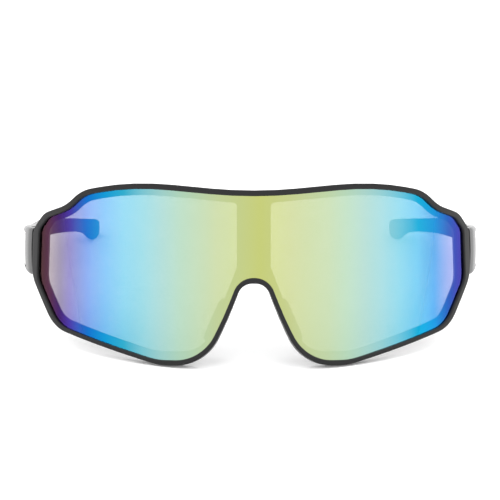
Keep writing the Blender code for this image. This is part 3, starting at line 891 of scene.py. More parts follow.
@functools.cache
def tool_lines() -> bpy.types.NodeTree:
    """Fine lines that a cutting or brushing tool leaves, all in one direction.

    Returns:
        A group with Lines, between 0 and 1.
    """
    sheet, given, out = new_effect("tool_lines", {"Across per metre": 9000.0,
                                                  "Along per metre": 400.0}, {"Lines": "Float"})
    place = sheet.add("TexCoord").outputs["Object"]
    apart = sheet.add("SeparateXYZ", {0: place})
    stretched = sheet.add("CombineXYZ")
    for axis, rate in ((0, 1), (1, 1), (2, 0)):
        sheet.feed(stretched, {axis: sheet.math("MULTIPLY", apart.outputs[axis],
                                                given.outputs[rate])})
    lines = sheet.add("TexNoise", {"Vector": stretched.outputs[0], "Scale": 1.0, "Detail": 3.0})
    sheet.feed(out, {"Lines": lines.outputs[0]})
    return sheet.tree


# ---------------------------------------------------------------- finishes

class Finish(ABC):
    """What a piece's surface is made of."""

    name: str

    @abstractmethod
    def wire(self, sheet: Wiring, shader: bpy.types.Node) -> None:
        """Join the finish's nodes to its Principled shader."""

    @functools.cached_property
    def material(self) -> bpy.types.Material:
        """The finish's material, built when it is first used."""
        made = bpy.data.materials.new(self.name)
        made.use_nodes = True
        shader = made.node_tree.nodes["Principled BSDF"]
        self.wire(Wiring(made.node_tree), shader)
        return made


@dataclass(frozen=True)
class MouldedPlastic(Finish):
    """Injection-moulded plastic, satin or gloss."""

    name: str
    colour: Colour
    rubbed: Colour
    roughness: float
    grains: float
    grain_depth: float
    wear: float
    edge: float = 0.15 * MM
    coat: float = 0.0
    gloss: float = 0.5

    def wire(self, sheet: Wiring, shader: bpy.types.Node) -> None:
        """Grain, handling marks and rubbed edges on a plain body colour."""
        grain = sheet.effect(moulded_grain(), Grains_per_metre=self.grains)
        edges = sheet.effect(softened_edges(), Radius=self.edge, Amount=self.wear)
        marks = sheet.effect(handling_marks())
        deep = tuple(channel * 0.75 for channel in self.colour)
        body = sheet.blend(grain.outputs["Tone"], (*deep, 1.0), (*self.colour, 1.0))
        sheet.feed(shader, {"Base Color": sheet.blend(edges.outputs["Mask"], body,
                                                      (*self.rubbed, 1.0))})
        smeared = sheet.math("MULTIPLY_ADD", marks.outputs["Smear"], 0.10, self.roughness - 0.05)
        polished = sheet.math("MULTIPLY_ADD", edges.outputs["Mask"], -0.08, smeared)
        dusty = sheet.math("MULTIPLY_ADD", marks.outputs["Dust"], 0.15, polished, clamp=True)
        bump = sheet.add("Bump", {"Height": grain.outputs["Height"], "Strength": 0.6,
                                  "Distance": self.grain_depth,
                                  "Normal": edges.outputs["Normal"]})
        sheet.feed(shader, {"Roughness": dusty, "Normal": bump.outputs[0],
                            "Specular IOR Level": self.gloss,
                            "Coat Weight": self.coat, "Coat Roughness": 0.05})


@dataclass(frozen=True)
class SoftRubber(Finish):
    """Matt rubber or silicone with a dry bloom on its high spots."""

    name: str
    colour: Colour
    bloom: Colour
    roughness: float
    grains: float
    grain_depth: float

    def wire(self, sheet: Wiring, shader: bpy.types.Node) -> None:
        """Pitted grain with a paler bloom, and a faint sheen."""
        grain = sheet.effect(moulded_grain(), Grains_per_metre=self.grains, Broad=160.0)
        edges = sheet.effect(softened_edges(), Radius=0.25 * MM, Amount=0.5)
        marks = sheet.effect(handling_marks(), Specks_per_metre=1400.0)
        high = sheet.math("MULTIPLY", grain.outputs["Tone"], grain.outputs["Height"], clamp=True)
        body = sheet.blend(high, (*self.colour, 1.0), (*self.bloom, 1.0))
        worn = sheet.blend(edges.outputs["Mask"], body, (*self.bloom, 1.0))
        dusted = sheet.math("MULTIPLY", marks.outputs["Dust"], 0.25)
        sheet.feed(shader, {"Base Color": sheet.blend(dusted, worn, (0.3, 0.29, 0.27, 1.0))})
        rough = sheet.math("MULTIPLY_ADD", marks.outputs["Smear"], 0.16, self.roughness - 0.08)
        bump = sheet.add("Bump", {"Height": grain.outputs["Height"], "Strength": 0.8,
                                  "Distance": self.grain_depth,
                                  "Normal": edges.outputs["Normal"]})
        sheet.feed(shader, {"Roughness": rough, "Normal": bump.outputs[0],
                            "Sheen Weight": 0.03, "Sheen Roughness": 0.4,
                            "Specular IOR Level": 0.2})


@dataclass(frozen=True)
class MachinedMetal(Finish):
    """Turned or rolled metal with fine tool lines."""

    name: str
    colour: Colour
    tarnish: Colour
    roughness: float

    def wire(self, sheet: Wiring, shader: bpy.types.Node) -> None:
        """Tool lines in roughness and relief, and tarnish away from the edges."""
        lines = sheet.effect(tool_lines())
        edges = sheet.effect(softened_edges(), Radius=0.08 * MM, Amount=1.0)
        grain = sheet.effect(moulded_grain(), Broad=900.0)
        dull = sheet.math("MULTIPLY", grain.outputs["Tone"], 0.7)
        body = sheet.blend(dull, (*self.colour, 1.0), (*self.tarnish, 1.0))
        bright = sheet.blend(edges.outputs["Mask"], body, (*self.colour, 1.0))
        rough = sheet.math("MULTIPLY_ADD", lines.outputs["Lines"], 0.25, self.roughness - 0.1)
        bump = sheet.add("Bump", {"Height": lines.outputs["Lines"], "Strength": 0.35,
                                  "Distance": 0.02 * MM, "Normal": edges.outputs["Normal"]})
        sheet.feed(shader, {"Base Color": bright, "Roughness": rough, "Metallic": 1.0,
                            "Normal": bump.outputs[0]})


@dataclass(frozen=True)
class ColourBand:
    """One colour of the mirror coating, at a place across the lens."""

    across: float     # distance from the middle plane, towards the wearer's left
    colour: Colour
    cover: float      # how much of what is behind the coating hides


@dataclass(frozen=True)
class MirrorCoating(Finish):
    """The lens's outer face: an interference mirror whose colour changes across it."""

    name: str
    bands: tuple[ColourBand, ...]
    reach: float
    smoke: Colour
    roughness: float

    def wire(self, sheet: Wiring, shader: bpy.types.Node) -> None:
        """Colour bands across the lens, and plain smoke where it is seen from behind."""
        place = sheet.add("TexCoord").outputs["Object"]
        across = sheet.add("SeparateXYZ", {0: place}).outputs["X"]
        share = sheet.add("MapRange", {0: across, 1: -self.reach, 2: self.reach})
        bands = self.ramp(sheet, share.outputs[0], [(*band.colour, 1.0) for band in self.bands])
        covers = self.ramp(sheet, share.outputs[0], [(band.cover,) * 3 + (1.0,)
                                                     for band in self.bands])
        inside = sheet.add("NewGeometry").outputs["Backfacing"]
        marks = sheet.effect(handling_marks(), Smears_per_metre=45.0, Specks_per_metre=500.0)
        sheet.feed(shader, {"Base Color": sheet.blend(inside, bands, (*self.smoke, 1.0)),
                            "Alpha": covers, "Metallic": 1.0})
        smeared = sheet.math("MULTIPLY_ADD", marks.outputs["Smear"], 0.03, self.roughness - 0.015)
        sheet.feed(shader, {"Roughness": smeared})

    def ramp(self, sheet: Wiring, share: bpy.types.NodeSocket, colours: list) -> object:
        """Lay colours across the lens.

        Args:
            sheet: the material's wiring.
            share: the place across the lens, from 0 to 1.
            colours: one for each band.

        Returns:
            The ramp's colour.
        """
        ramp = sheet.add("ValToRGB", {0: share})
        ramp.color_ramp.interpolation = "LINEAR"
        elements = ramp.color_ramp.elements
        while len(elements) < len(self.bands):
            elements.new(0.5)
        for element, band, colour in zip(elements, self.bands, colours):
            element.position = (band.across / self.reach + 1) / 2
            element.color = colour
        return ramp.outputs[0]


@dataclass(frozen=True)
class SmokeTint(Finish):
    """The lens's inner face and edge: smoke plastic, dense from behind and clear from within."""

    name: str
    colour: Colour
    cover: float      # how much it hides from the wearer's side
    film: float       # and how much from inside the lens
    roughness: float

    def wire(self, sheet: Wiring, shader: bpy.types.Node) -> None:
        """A smoke film with faint smears."""
        inside = sheet.add("NewGeometry").outputs["Backfacing"]
        cover = sheet.math("MULTIPLY_ADD", inside, self.film - self.cover, self.cover)
        marks = sheet.effect(handling_marks(), Smears_per_metre=55.0)
        tone = sheet.effect(moulded_grain(), Broad=30.0).outputs["Tone"]
        light = tuple(channel * 1.25 for channel in self.colour)
        body = sheet.blend(tone, (*self.colour, 1.0), (*light, 1.0))
        rough = sheet.math("MULTIPLY_ADD", marks.outputs["Smear"], 0.04, self.roughness - 0.02)
        sheet.feed(shader, {"Base Color": body, "Roughness": rough, "Alpha": cover})


FRAME_PLASTIC = MouldedPlastic("satin_frame_plastic", (0.0050, 0.0050, 0.0055),
                               (0.02, 0.02, 0.021), 0.38, 4200.0, 0.02 * MM, 0.6,
                               gloss=0.3)
ARM_PLASTIC = MouldedPlastic("polished_arm_plastic", (0.006, 0.006, 0.0065),
                             (0.02, 0.02, 0.021), 0.24, 2500.0, 0.006 * MM, 0.5,
                             gloss=0.3)
ARM_LINING = MouldedPlastic("satin_arm_inside", (0.006, 0.006, 0.0065), (0.012, 0.012, 0.0125), 0.62,
                            3600.0, 0.02 * MM, 0.3, gloss=0.12)
PANEL_PLASTIC = MouldedPlastic("gloss_panel_lacquer", (0.004, 0.004, 0.0045),
                               (0.015, 0.015, 0.016), 0.10, 1800.0, 0.003 * MM, 0.4, coat=1.0)
GRIP_RUBBER = SoftRubber("ear_grip_rubber", (0.010, 0.010, 0.0105), (0.03, 0.03, 0.031), 0.72,
                         3800.0, 0.05 * MM)
PAD_SILICONE = SoftRubber("nose_pad_silicone", (0.013, 0.013, 0.014), (0.024, 0.024, 0.025), 0.55,
                          5200.0, 0.02 * MM)
SCREW_STEEL = MachinedMetal("bright_screw_steel", (0.62, 0.62, 0.64), (0.42, 0.42, 0.44), 0.24)
CORE_STEEL = MachinedMetal("rolled_core_steel", (0.50, 0.50, 0.52), (0.30, 0.30, 0.31), 0.38)
HINGE_BRASS = MachinedMetal("turned_brass", (0.78, 0.58, 0.28), (0.48, 0.34, 0.16), 0.28)
WASHER_NYLON = MouldedPlastic("natural_nylon", (0.66, 0.65, 0.60), (0.8, 0.79, 0.76), 0.5,
                              5000.0, 0.02 * MM, 0.3)
LENS_SMOKE = SmokeTint("smoke_inner_face", (0.040, 0.042, 0.045), 0.96, 0.10, 0.05)
LENS_MIRROR = MirrorCoating(
    "mirror_coating",
    (
        ColourBand(-75.0 * MM, (0.062, 0.021, 0.022), 0.68),    # maroon
        ColourBand(-70.0 * MM, (0.066, 0.021, 0.024), 0.68),    # maroon
        ColourBand(-67.0 * MM, (0.084, 0.023, 0.062), 0.68),    # plum
        ColourBand(-63.5 * MM, (0.047, 0.012, 0.122), 0.76),    # violet
        ColourBand(-60.0 * MM, (0.054, 0.031, 0.302), 0.79),    # indigo
        ColourBand(-54.0 * MM, (0.006, 0.146, 0.529), 0.79),    # deep blue
        ColourBand(-48.0 * MM, (0.006, 0.278, 0.568), 0.80),    # azure
        ColourBand(-42.0 * MM, (0.027, 0.357, 0.519), 0.79),    # cyan
        ColourBand(-36.0 * MM, (0.149, 0.429, 0.495), 0.87),    # turquoise
        ColourBand(-30.0 * MM, (0.246, 0.452, 0.433), 0.91),    # sea green
        ColourBand(-24.0 * MM, (0.306, 0.465, 0.355), 0.93),    # spring green
        ColourBand(-12.0 * MM, (0.384, 0.456, 0.239), 0.93),    # lime
        ColourBand(2.0 * MM, (0.427, 0.462, 0.147), 0.90),      # gold green
        ColourBand(12.0 * MM, (0.411, 0.456, 0.206), 0.92),     # gold green
        ColourBand(24.0 * MM, (0.379, 0.477, 0.286), 0.93),     # lime
        ColourBand(30.0 * MM, (0.339, 0.487, 0.352), 0.93),     # spring green
        ColourBand(36.0 * MM, (0.291, 0.472, 0.423), 0.93),     # sea green
        ColourBand(42.0 * MM, (0.220, 0.461, 0.489), 0.91),     # turquoise
        ColourBand(48.0 * MM, (0.122, 0.430, 0.547), 0.88),     # cyan
        ColourBand(54.0 * MM, (0.007, 0.344, 0.565), 0.84),     # cyan
        ColourBand(60.0 * MM, (0.008, 0.228, 0.531), 0.90),     # azure
        ColourBand(65.0 * MM, (0.016, 0.098, 0.441), 0.72),     # deep blue
        ColourBand(69.0 * MM, (0.046, 0.046, 0.410), 0.68),     # violet
        ColourBand(75.0 * MM, (0.036, 0.036, 0.310), 0.68),     # indigo
    ),
    78.0 * MM, (0.010, 0.011, 0.012), 0.03)


def hand_over(obj: bpy.types.Object, finish: Finish | None, body: str, slot: Slot,
              *nodes: str) -> None:
    """Dress a finished piece, attach it to the body it moves with and hide the CAD nodes that it stands
    for.

    Args:
        obj: the piece, in the row frame.
        finish: its finish, or None where its mesh already holds its materials.
        body: the CAD body that it moves with.
        slot: the record's material slot; not used.
        *nodes: the CAD nodes that it stands for.
    """
    if finish is not None:
        obj.data.materials.clear()
        obj.data.materials.append(finish.material)
    smooth(obj)
    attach(obj, body)
    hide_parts(*nodes)
    log.info("%s: %d faces, rides on %s", obj.name, len(obj.data.polygons), body)


# ---------------------------------------------------------------- the front

@dataclass(frozen=True)
class ShieldFront:
    """The moulded front: rim, lens groove, flange, web, hinge forks and nose fins."""

    stand: Matrix
    outer_round: float = 0.3 * MM
    window_round: float = 0.45 * MM
    flange_round: float = 0.25 * MM
    rear_round: float = 0.5 * MM
    cut_past: float = 2.0 * MM

    def shell(self) -> bpy.types.Object:
        """Rim, groove, flange and web, still flat."""
        p = PATTERN
        edge = [(inset, p.rim_front + rise) for inset, rise in quarter_round(self.outer_round)]
        edge += [(inset, p.rim_back - rise)
                 for inset, rise in reversed(quarter_round(self.rear_round))]
        shell = p.plate("front_shell", p.outline(), edge)
        middle = (p.groove_front + p.groove_back) / 2
        lip = [(-self.window_round, p.rim_front - self.cut_past)]
        lip += [(-inset, p.rim_front + rise) for inset, rise in quarter_round(self.window_round)]
        groove = [(0.0, p.groove_front), (0.0, p.groove_back)]
        eye = [(-self.flange_round, middle)]
        eye += [(-inset, p.groove_back + rise)
                for inset, rise in quarter_round(self.flange_round)]
        drafted = p.eye_draft * (p.flange_thickness - self.rear_round)
        eye += [(-drafted - inset, p.rim_back - rise)
                for inset, rise in reversed(quarter_round(self.rear_round))]
        eye.append((-drafted - self.rear_round, p.rim_back + self.cut_past))
        cutters = [p.plate("window", p.window(), lip + [(0.0, middle)]),
                   p.plate("groove", p.lens_edge(p.fit_gap), groove)]
        cutters += [p.plate("eye", p.eye(side), eye) for side in Side]
        return combine(shell, cutters, "DIFFERENCE")

    def lug(self) -> bpy.types.Object:
        """The block behind the rim's left side that ends in the hinge fork."""
        p, h = PATTERN, HINGE
        flange_middle = (p.groove_back + p.rim_back) / 2
        root_end = p.half_span - h.lug_edge_inset
        outline = [p.on_shell(root_end - h.lug_width * (1 - i / h.root_steps), flange_middle, 0).xy
                   for i in range(h.root_steps + 1)]
        outline += h.half_circle(0.0)
        lug = plan_prism("lug", outline, h.middle - h.leaf_outer, h.middle + h.leaf_outer)
        front = h.pin.y - h.eye_radius - h.wall_clearance
        place = Matrix.Translation((h.pin.x, front, h.middle))
        wide = 3 * h.eye_radius
        chamfer = 0.12 * MM
        cutters = [
            block("slot", place, (-wide, 0, -h.leaf_inner), (wide, wide, h.leaf_inner)),
            h.cylinder("bore", h.bore, -2 * h.leaf_outer, 2 * h.leaf_outer),
            h.countersunk("head_seat", h.head_radius + p.fit_gap,
                          h.leaf_outer - h.head_height - p.fit_gap, h.leaf_outer, chamfer),
            h.countersunk("nut_seat", h.bore + h.bush_wall + p.fit_gap,
                          -h.leaf_outer + h.nut_height + p.fit_gap, -h.leaf_outer, chamfer),
        ]
        return soften(combine(lug, cutters, "DIFFERENCE"), h.rounding)

    def fin(self) -> bpy.types.Object:
        """The left fin that carries a nose cushion."""
        half, thick = NOSE.fin_length / 2, NOSE.fin_thickness / 2
        fin = block("fin", NOSE.place, (-half, -PATTERN.flange_thickness / 2, -thick),
                    (half, NOSE.fin_depth, thick))
        return soften(fin, self.flange_round)

    def build(self) -> None:
        """Build the front and hand it over."""
        shell = PATTERN.wrap(self.shell())
        left = [self.lug(), self.fin()]
        right = [mirror_copy(piece, piece.name + "_right") for piece in left]
        combine(shell, left + right, "UNION")
        hand_over(stand_on_table(shell, self.stand), FRAME_PLASTIC, "front", Slot.FRAME,
                  "front_frame")


@dataclass(frozen=True)
class ShieldLens:
    """The one-piece shield lens, mirrored on its outer face."""

    stand: Matrix
    edge_round: float = 0.2 * MM

    def build(self) -> None:
        """Build the lens and hand it over."""
        fillet = quarter_round(self.edge_round)
        edge = [(inset, rise) for inset, rise in fillet]
        edge += [(inset, PATTERN.lens_thickness - rise) for inset, rise in reversed(fillet)]
        lens = PATTERN.plate("mirrored_shield", PATTERN.lens_edge(0.0), edge)
        lens.data.materials.append(LENS_MIRROR.material)
        lens.data.materials.append(LENS_SMOKE.material)
        for face in lens.data.polygons:
            face.material_index = 0 if face.center.y < 1e-6 else 1
        PATTERN.wrap(lens)
        lens.data.transform(self.stand)
        hand_over(lens, None, "front", Slot.LENS, "shield_lens")


@dataclass(frozen=True)
class NoseCushions:
    """The two silicone cushions, sleeves that slide on the front's fins from behind."""

    stand: Matrix
    stations: int = 61
    section_points: int = 40
    fullness: float = 4.0          # how square the cushion's section and ends are
    rib_count: int = 5
    rib_depth: float = 0.16 * MM
    rib_zone: float = 0.62         # share of the length that the ribs take

    def ring(self, share: float, front: float, back: float, half_width: float) -> Points:
        """One section across the cushion.

        Args:
            share: place along it, from -1 to 1.
            front: its front face, back from the flange.
            back: its rear face.
            half_width: half its width at the middle.

        Returns:
            A closed ring in the fin's frame.
        """
        power = 2 / self.fullness
        ends = max(0.0, 1 - abs(share) ** self.fullness) ** (1 / self.fullness)
        ribs = 0.5 - 0.5 * math.cos(2 * math.pi * self.rib_count * share / self.rib_zone)
        rib = self.rib_depth * ribs if abs(share) < self.rib_zone else 0.0
        middle, half_depth = (front + back) / 2, (back - front) / 2
        half_length = NOSE.fin_length / 2 + NOSE.pad_margin
        ring = []
        for index in range(self.section_points):
            turn = 2 * math.pi * index / self.section_points
            cos, sin = math.cos(turn), math.sin(turn)
            deep = math.copysign(abs(cos) ** power, cos) * half_depth * (0.35 + 0.65 * ends)
            wide = math.copysign(abs(sin) ** power, sin) * (half_width * max(ends, 0.05) - rib)
            ring.append(Vector((share * half_length, middle + deep, wide)))
        return ring

    def build(self) -> None:
        """Build both cushions and hand them over."""
        front = NOSE.pad_standoff
        back = NOSE.fin_depth + NOSE.pad_floor
        slot = NOSE.fin_thickness / 2 + PATTERN.fit_gap
        last = self.stations - 1
        shares = [math.sin(math.pi / 2 * (2 * i / last - 1)) for i in range(self.stations)]
        cushion = loft("nose_cushion_left", [self.ring(share, front, back, slot + NOSE.pad_wall)
                                             for share in shares])
        half = NOSE.fin_length / 2 + PATTERN.fit_gap
        cavity = block("cavity", Matrix.Identity(4), (-half, -front, -slot),
                       (half, NOSE.fin_depth + PATTERN.fit_gap, slot))
        combine(cushion, [cavity], "DIFFERENCE")
        cushion.data.transform(NOSE.place)
        twin = mirror_copy(cushion, "nose_cushion_right")
        for piece, side in ((cushion, Side.LEFT), (twin, Side.RIGHT)):
            piece.data.transform(self.stand)
            hand_over(piece, PAD_SILICONE, "front", Slot.PADS, "nose_pad_" + side.word)


# ---------------------------------------------------------------- the temples

@dataclass(frozen=True)
class TempleSection:
    """The temple's faces at one place along it."""

    y: float
    outer: float
    inner: float
    top: float
    bottom: float

    @property
    def crown(self) -> float:
        """How far the middle of the outer and inner faces stands out."""
        return min(0.35 * MM, (self.top - self.bottom) * 0.03)

    def outer_face(self, z: float) -> float:
        """The crowned outer face's x at a height."""
        middle, half = (self.top + self.bottom) / 2, (self.top - self.bottom) / 2
        return self.outer - self.crown * ((z - middle) / half) ** 2


@dataclass(frozen=True)
class Temple:
    """One arm with its side panel, steel core and rubber ear grip."""

    stand: Matrix
    length: float = 115.5 * MM
    front_reach: float = 8.6 * MM
    pocket_size: float = 30.0 * MM
    arm_corner: float = 1.3 * MM
    # Share of the length, outer face outboard of the screw, thickness, top and bottom edge.
    rows: tuple = (
        (-0.078, 2.1 * MM, 5.0 * MM, -3.3 * MM, -18.8 * MM),
        (-0.040, 3.8 * MM, 5.8 * MM, -3.2 * MM, -19.0 * MM),
        (0.030, 5.5 * MM, 7.2 * MM, -2.9 * MM, -17.6 * MM),
        (0.117, 6.4 * MM, 6.0 * MM, -2.6 * MM, -14.4 * MM),
        (0.247, 5.5 * MM, 4.3 * MM, -2.2 * MM, -9.2 * MM),
        (0.463, 2.3 * MM, 3.8 * MM, -0.3 * MM, -6.4 * MM),
        (0.680, -3.9 * MM, 3.5 * MM, -0.3 * MM, -5.3 * MM),
        (0.853, -9.2 * MM, 3.3 * MM, -0.4 * MM, -5.7 * MM),
        (0.930, -12.0 * MM, 3.3 * MM, -0.5 * MM, -8.2 * MM),
        (1.000, -13.7 * MM, 3.2 * MM, -0.8 * MM, -6.4 * MM),
    )
    arm_rings: int = 96
    grip_rings: int = 150
    panel_rings: int = 70
    corner_steps: int = 6
    face_steps: int = 6
    tip_rounding: float = 2.7 * MM
    panel_start: float = 0.0
    panel_end: float = 0.420
    panel_margin: float = 1.9 * MM
    panel_depth: float = 0.9 * MM
    panel_corner: float = 1.1 * MM
    panel_edge: float = 0.22 * MM
    grip_start: float = 0.700
    core_reach: float = 17.0 * MM
    core_end: float = 10.0 * MM
    core_thickness: float = 1.1 * MM
    core_height: float = 2.6 * MM
    rib_start: float = 0.80
    rib_end: float = 0.95
    rib_count: int = 9
    rib_depth: float = 0.28 * MM
    lining_turn: float = 0.25      # how far a face turns in before it counts as the inside
    lining_start: float = 88.0 * MM  # behind here the top and bottom edges are satin too

    def section(self, share: float) -> TempleSection:
        """Read the temple's faces from a smooth curve through its rows.

        Args:
            share: place along it, as a share of its length behind the screw.

        Returns:
            The section there.
        """
        rows = self.rows
        share = min(max(share, rows[0][0]), rows[-1][0])
        index = max(i for i in range(len(rows) - 1) if rows[i][0] <= share)
        first, second = rows[index], rows[index + 1]
        span = second[0] - first[0]
        t = (share - first[0]) / span

        def slope(at: int, column: int) -> float:
            """Rise of a column at a row, from its neighbours."""
            low, high = rows[max(at - 1, 0)], rows[min(at + 1, len(rows) - 1)]
            return (high[column] - low[column]) / (high[0] - low[0])

        values = []
        for column in range(1, 5):
            a, b = first[column], second[column]
            rise_a, rise_b = slope(index, column) * span, slope(index + 1, column) * span
            values.append(a + t * rise_a + t ** 2 * (3 * (b - a) - 2 * rise_a - rise_b)
                          + t ** 3 * (2 * (a - b) + rise_a + rise_b))
        outer = HINGE.pin.x + values[0]
        y = HINGE.pin.y + share * self.length
        return TempleSection(y, outer, outer - values[1], values[2], values[3])

    def shares(self, start: float, end: float, count: int) -> list[float]:
        """Evenly spaced places along the temple."""
        return [start + (end - start) * i / (count - 1) for i in range(count)]

    def ring(self, share: float, shrink: float = 0.0) -> Points:
        """A rounded ring of the temple with crowned sides.

        Args:
            share: place along it.
            shrink: how far the ring is drawn in all round.

        Returns:
            A closed ring in the worn frame.
        """
        s = self.section(share)
        outer, inner, top, bottom = s.outer - shrink, s.inner + shrink, s.top - shrink, s.bottom + shrink
        radius = min(self.arm_corner, (outer - inner) * 0.4, (top - bottom) * 0.4)
        middle, half = (top + bottom) / 2, (top - bottom) / 2
        flat: Points = []
        for x, z, start in ((outer, top, 0), (inner, top, 90), (inner, bottom, 180),
                            (outer, bottom, 270)):
            centre = Vector((x + (radius if x == inner else -radius),
                             z + (radius if z == bottom else -radius)))
            for step in range(self.corner_steps + 1):
                turn = math.radians(start + 90 * step / self.corner_steps)
                flat.append(centre + Vector((math.cos(turn), math.sin(turn))) * radius)
        filled: Points = []
        for index, point in enumerate(flat):
            following = flat[(index + 1) % len(flat)]
            filled.append(point)
            if abs(following.y - point.y) > radius:
                filled += [point.lerp(following, i / self.face_steps)
                           for i in range(1, self.face_steps)]
        centre_x = (outer + inner) / 2
        ring = []
        for point in filled:
            pull = s.crown * ((point.y - middle) / half) ** 2 * (point.x - centre_x)
            ring.append(Vector((point.x - pull / (outer - centre_x), s.y, point.y)))
        return ring

    def panel(self, name: str, gap: float, proud: float) -> bpy.types.Object:
        """The side panel, or with a gap the recess that it sits in.

        Args:
            name: the object's name.
            gap: clearance added all round.
            proud: how far its outer face stands out of the arm.

        Returns:
            A slab that follows the arm's outer face.
        """
        start = self.panel_start - gap / self.length
        end = self.panel_end + gap / self.length
        rings = []
        for share in self.shares(start, end, self.panel_rings):
            s = self.section(share)
            from_end = min(share - start, end - share) * self.length
            near = max(0.0, self.panel_corner - from_end)
            corner = self.panel_corner - math.sqrt(max(0.0, self.panel_corner ** 2 - near ** 2))
            top, bottom = s.top - self.panel_margin + gap - corner, (s.bottom + self.panel_margin
                                                                     - gap + corner)
            edge = 0.0 if gap else self.panel_edge
            heights = [top - edge - (top - bottom - 2 * edge) * i / 12 for i in range(13)]
            ring = [Vector((s.outer_face(z) + proud, s.y, z)) for z in heights]
            floor = s.outer_face((top + bottom) / 2) - self.panel_depth - gap
            ring += [Vector((s.outer_face(bottom) + proud - edge, s.y, bottom)),
                     Vector((floor, s.y, bottom)), Vector((floor, s.y, top)),
                     Vector((s.outer_face(top) + proud - edge, s.y, top))]
            rings.append(ring)
        return loft(name, rings)

    def core_slot(self) -> bpy.types.Object:
        """The clearance slot round the steel core."""
        gap = PATTERN.fit_gap
        start = self.grip_start - (self.core_reach + gap) / self.length
        end = 1.0 - (self.core_end - gap) / self.length
        half_x, half_z = self.core_thickness / 2 + gap, self.core_height / 2 + gap
        rings = []
        for share in self.shares(start, end, 9):
            s = self.section(share)
            x, z = (s.outer + s.inner) / 2, (s.top + s.bottom) / 2
            rings.append([Vector((x + dx * half_x, s.y, z + dz * half_z))
                          for dx, dz in ((1, 1), (-1, 1), (-1, -1), (1, -1))])
        return loft("core_slot", rings)

    def hinge_eye(self) -> bpy.types.Object:
        """The eye between the fork's leaves, with its root in the arm."""
        h = HINGE
        s = self.section(h.root_length / self.length)
        root = h.pin.y + h.root_length
        reach = h.eye_radius + h.wall_clearance
        outline = [h.pin + Vector((h.eye_radius, reach + MM)),
                   Vector(((s.outer + s.inner) / 2, root)),
                   Vector((s.inner + MM, root))] + h.half_circle(math.pi)
        eye = plan_prism("eye", outline, h.middle - h.eye_half_height, h.middle + h.eye_half_height)
        return soften(eye, h.rounding)

    def arm(self) -> bpy.types.Object:
        """The left arm, mitred behind the rim, with its eye, recess and core slot."""
        h, p = HINGE, PATTERN
        start = -self.front_reach / self.length
        arm = loft("temple_shell_left", [self.ring(share) for share in
                                         self.shares(start, self.grip_start, self.arm_rings)])
        clear = inset_corners(p.outline(), [-h.wall_clearance] * len(p.outline()),
                              p.eye_corner_radius)
        rim = p.wrap(p.plate("rim_clearance", clear, [(0.0, p.rim_front - 4 * MM),
                                                      (0.0, p.rim_back + 3 * MM)]))
        # The pocket's outer side runs alongside the lug, from its root to the screw.
        reach, size = h.eye_radius + h.wall_clearance, self.pocket_size
        root = p.on_shell(p.half_span - h.lug_edge_inset, (p.groove_back + p.rim_back) / 2, 0.0).xy
        beside = h.pin + Vector((reach, 0.0))
        side = (beside - root - Vector((h.wall_clearance, 0.0))).normalized()
        outline = [beside - side * size, beside, h.pin + Vector((reach, reach)),
                   h.pin + Vector((-size, reach)), h.pin + Vector((-size, -size))]
        pocket = plan_prism("pocket", outline, h.middle - size, h.middle + size)
        combine(arm, [rim, pocket], "DIFFERENCE")
        combine(arm, [self.hinge_eye()], "UNION")
        bore = h.cylinder("bore", h.bore + h.bush_wall + p.fit_gap, -2 * h.leaf_outer,
                          2 * h.leaf_outer)
        return combine(arm, [bore, self.panel("recess", p.fit_gap, 2 * MM), self.core_slot()],
                       "DIFFERENCE")

    def lined(self, arm: bpy.types.Object) -> bpy.types.Object:
        """Give the left arm its polished outside and its satin inside, and return it."""
        arm.data.materials.clear()
        arm.data.materials.append(ARM_PLASTIC.material)
        arm.data.materials.append(ARM_LINING.material)
        for face in arm.data.polygons:
            behind = face.center.y > self.lining_start and face.normal.x < self.lining_turn
            face.material_index = 1 if behind or face.normal.x < -self.lining_turn else 0
        return arm

    def grip(self) -> bpy.types.Object:
        """The left rubber ear grip, ribbed towards its rounded end."""
        start = self.grip_start + PATTERN.fit_gap / self.length
        round_start = 1.0 - 3.0 * MM / self.length
        rings = []
        for share in self.shares(start, round_start, self.grip_rings):
            along = (share - self.rib_start) / (self.rib_end - self.rib_start)
            wave = math.sin(math.pi * self.rib_count * along) ** 2
            rib = self.rib_depth * wave ** 0.6 if 0 < along < 1 else 0.0
            front_edge = max(0.0, 0.3 * MM - (share - start) * self.length)
            rings.append(self.ring(share, rib + front_edge))
        last = self.section(1.0)
        half = (last.outer - last.inner) / 2
        for step in range(1, 9):
            turn = math.pi / 2 * step / 8.5
            share = round_start + self.tip_rounding / self.length * math.sin(turn)
            rings.append(self.ring(share, half * 0.8 * (1 - math.cos(turn))))
        return combine(loft("ear_sock_left", rings), [self.core_slot()], "DIFFERENCE")

    def build(self) -> None:
        """Build the left temple's pieces, mirror them, and hand them over."""
        made = ((stand_piece(self.lined(self.arm()), self.stand), None, Slot.FRAME, "temple_arm_"),
                (stand_piece(self.panel("side_panel_left", 0.0, 0.0), self.stand), PANEL_PLASTIC,
                 Slot.INLAY, "temple_inlay_"),
                (stand_on_table(self.grip(), self.stand), GRIP_RUBBER, Slot.GRIPS, "ear_grip_"))
        for piece, finish, slot, node in made:
            twin = mirror_copy(piece, piece.name.replace("_left", "_right"))
            for copy, side in ((piece, Side.LEFT), (twin, Side.RIGHT)):
                hand_over(copy, finish, "temple_" + side.word, slot, node + side.word)
        for side in Side:
            repaint("tip_core_" + side.word, CORE_STEEL)


def stand_piece(obj: bpy.types.Object, stand: Matrix) -> bpy.types.Object:
    """Tip a piece that doesn't touch the table, and return it."""
    obj.data.transform(stand)
    return obj


def repaint(node: str, finish: Finish) -> None:
    """Give a CAD node that stays a finish of its own.

    Args:
        node: the node's name.
        finish: its finish.
    """
    piece = frame["nodes"][node]
    for index in range(len(piece.material_slots)):
        piece.material_slots[index].material = finish.material
    log.info("%s: the packed model's own piece, finished in %s", node, finish.name)


# ---------------------------------------------------------------- hinge hardware

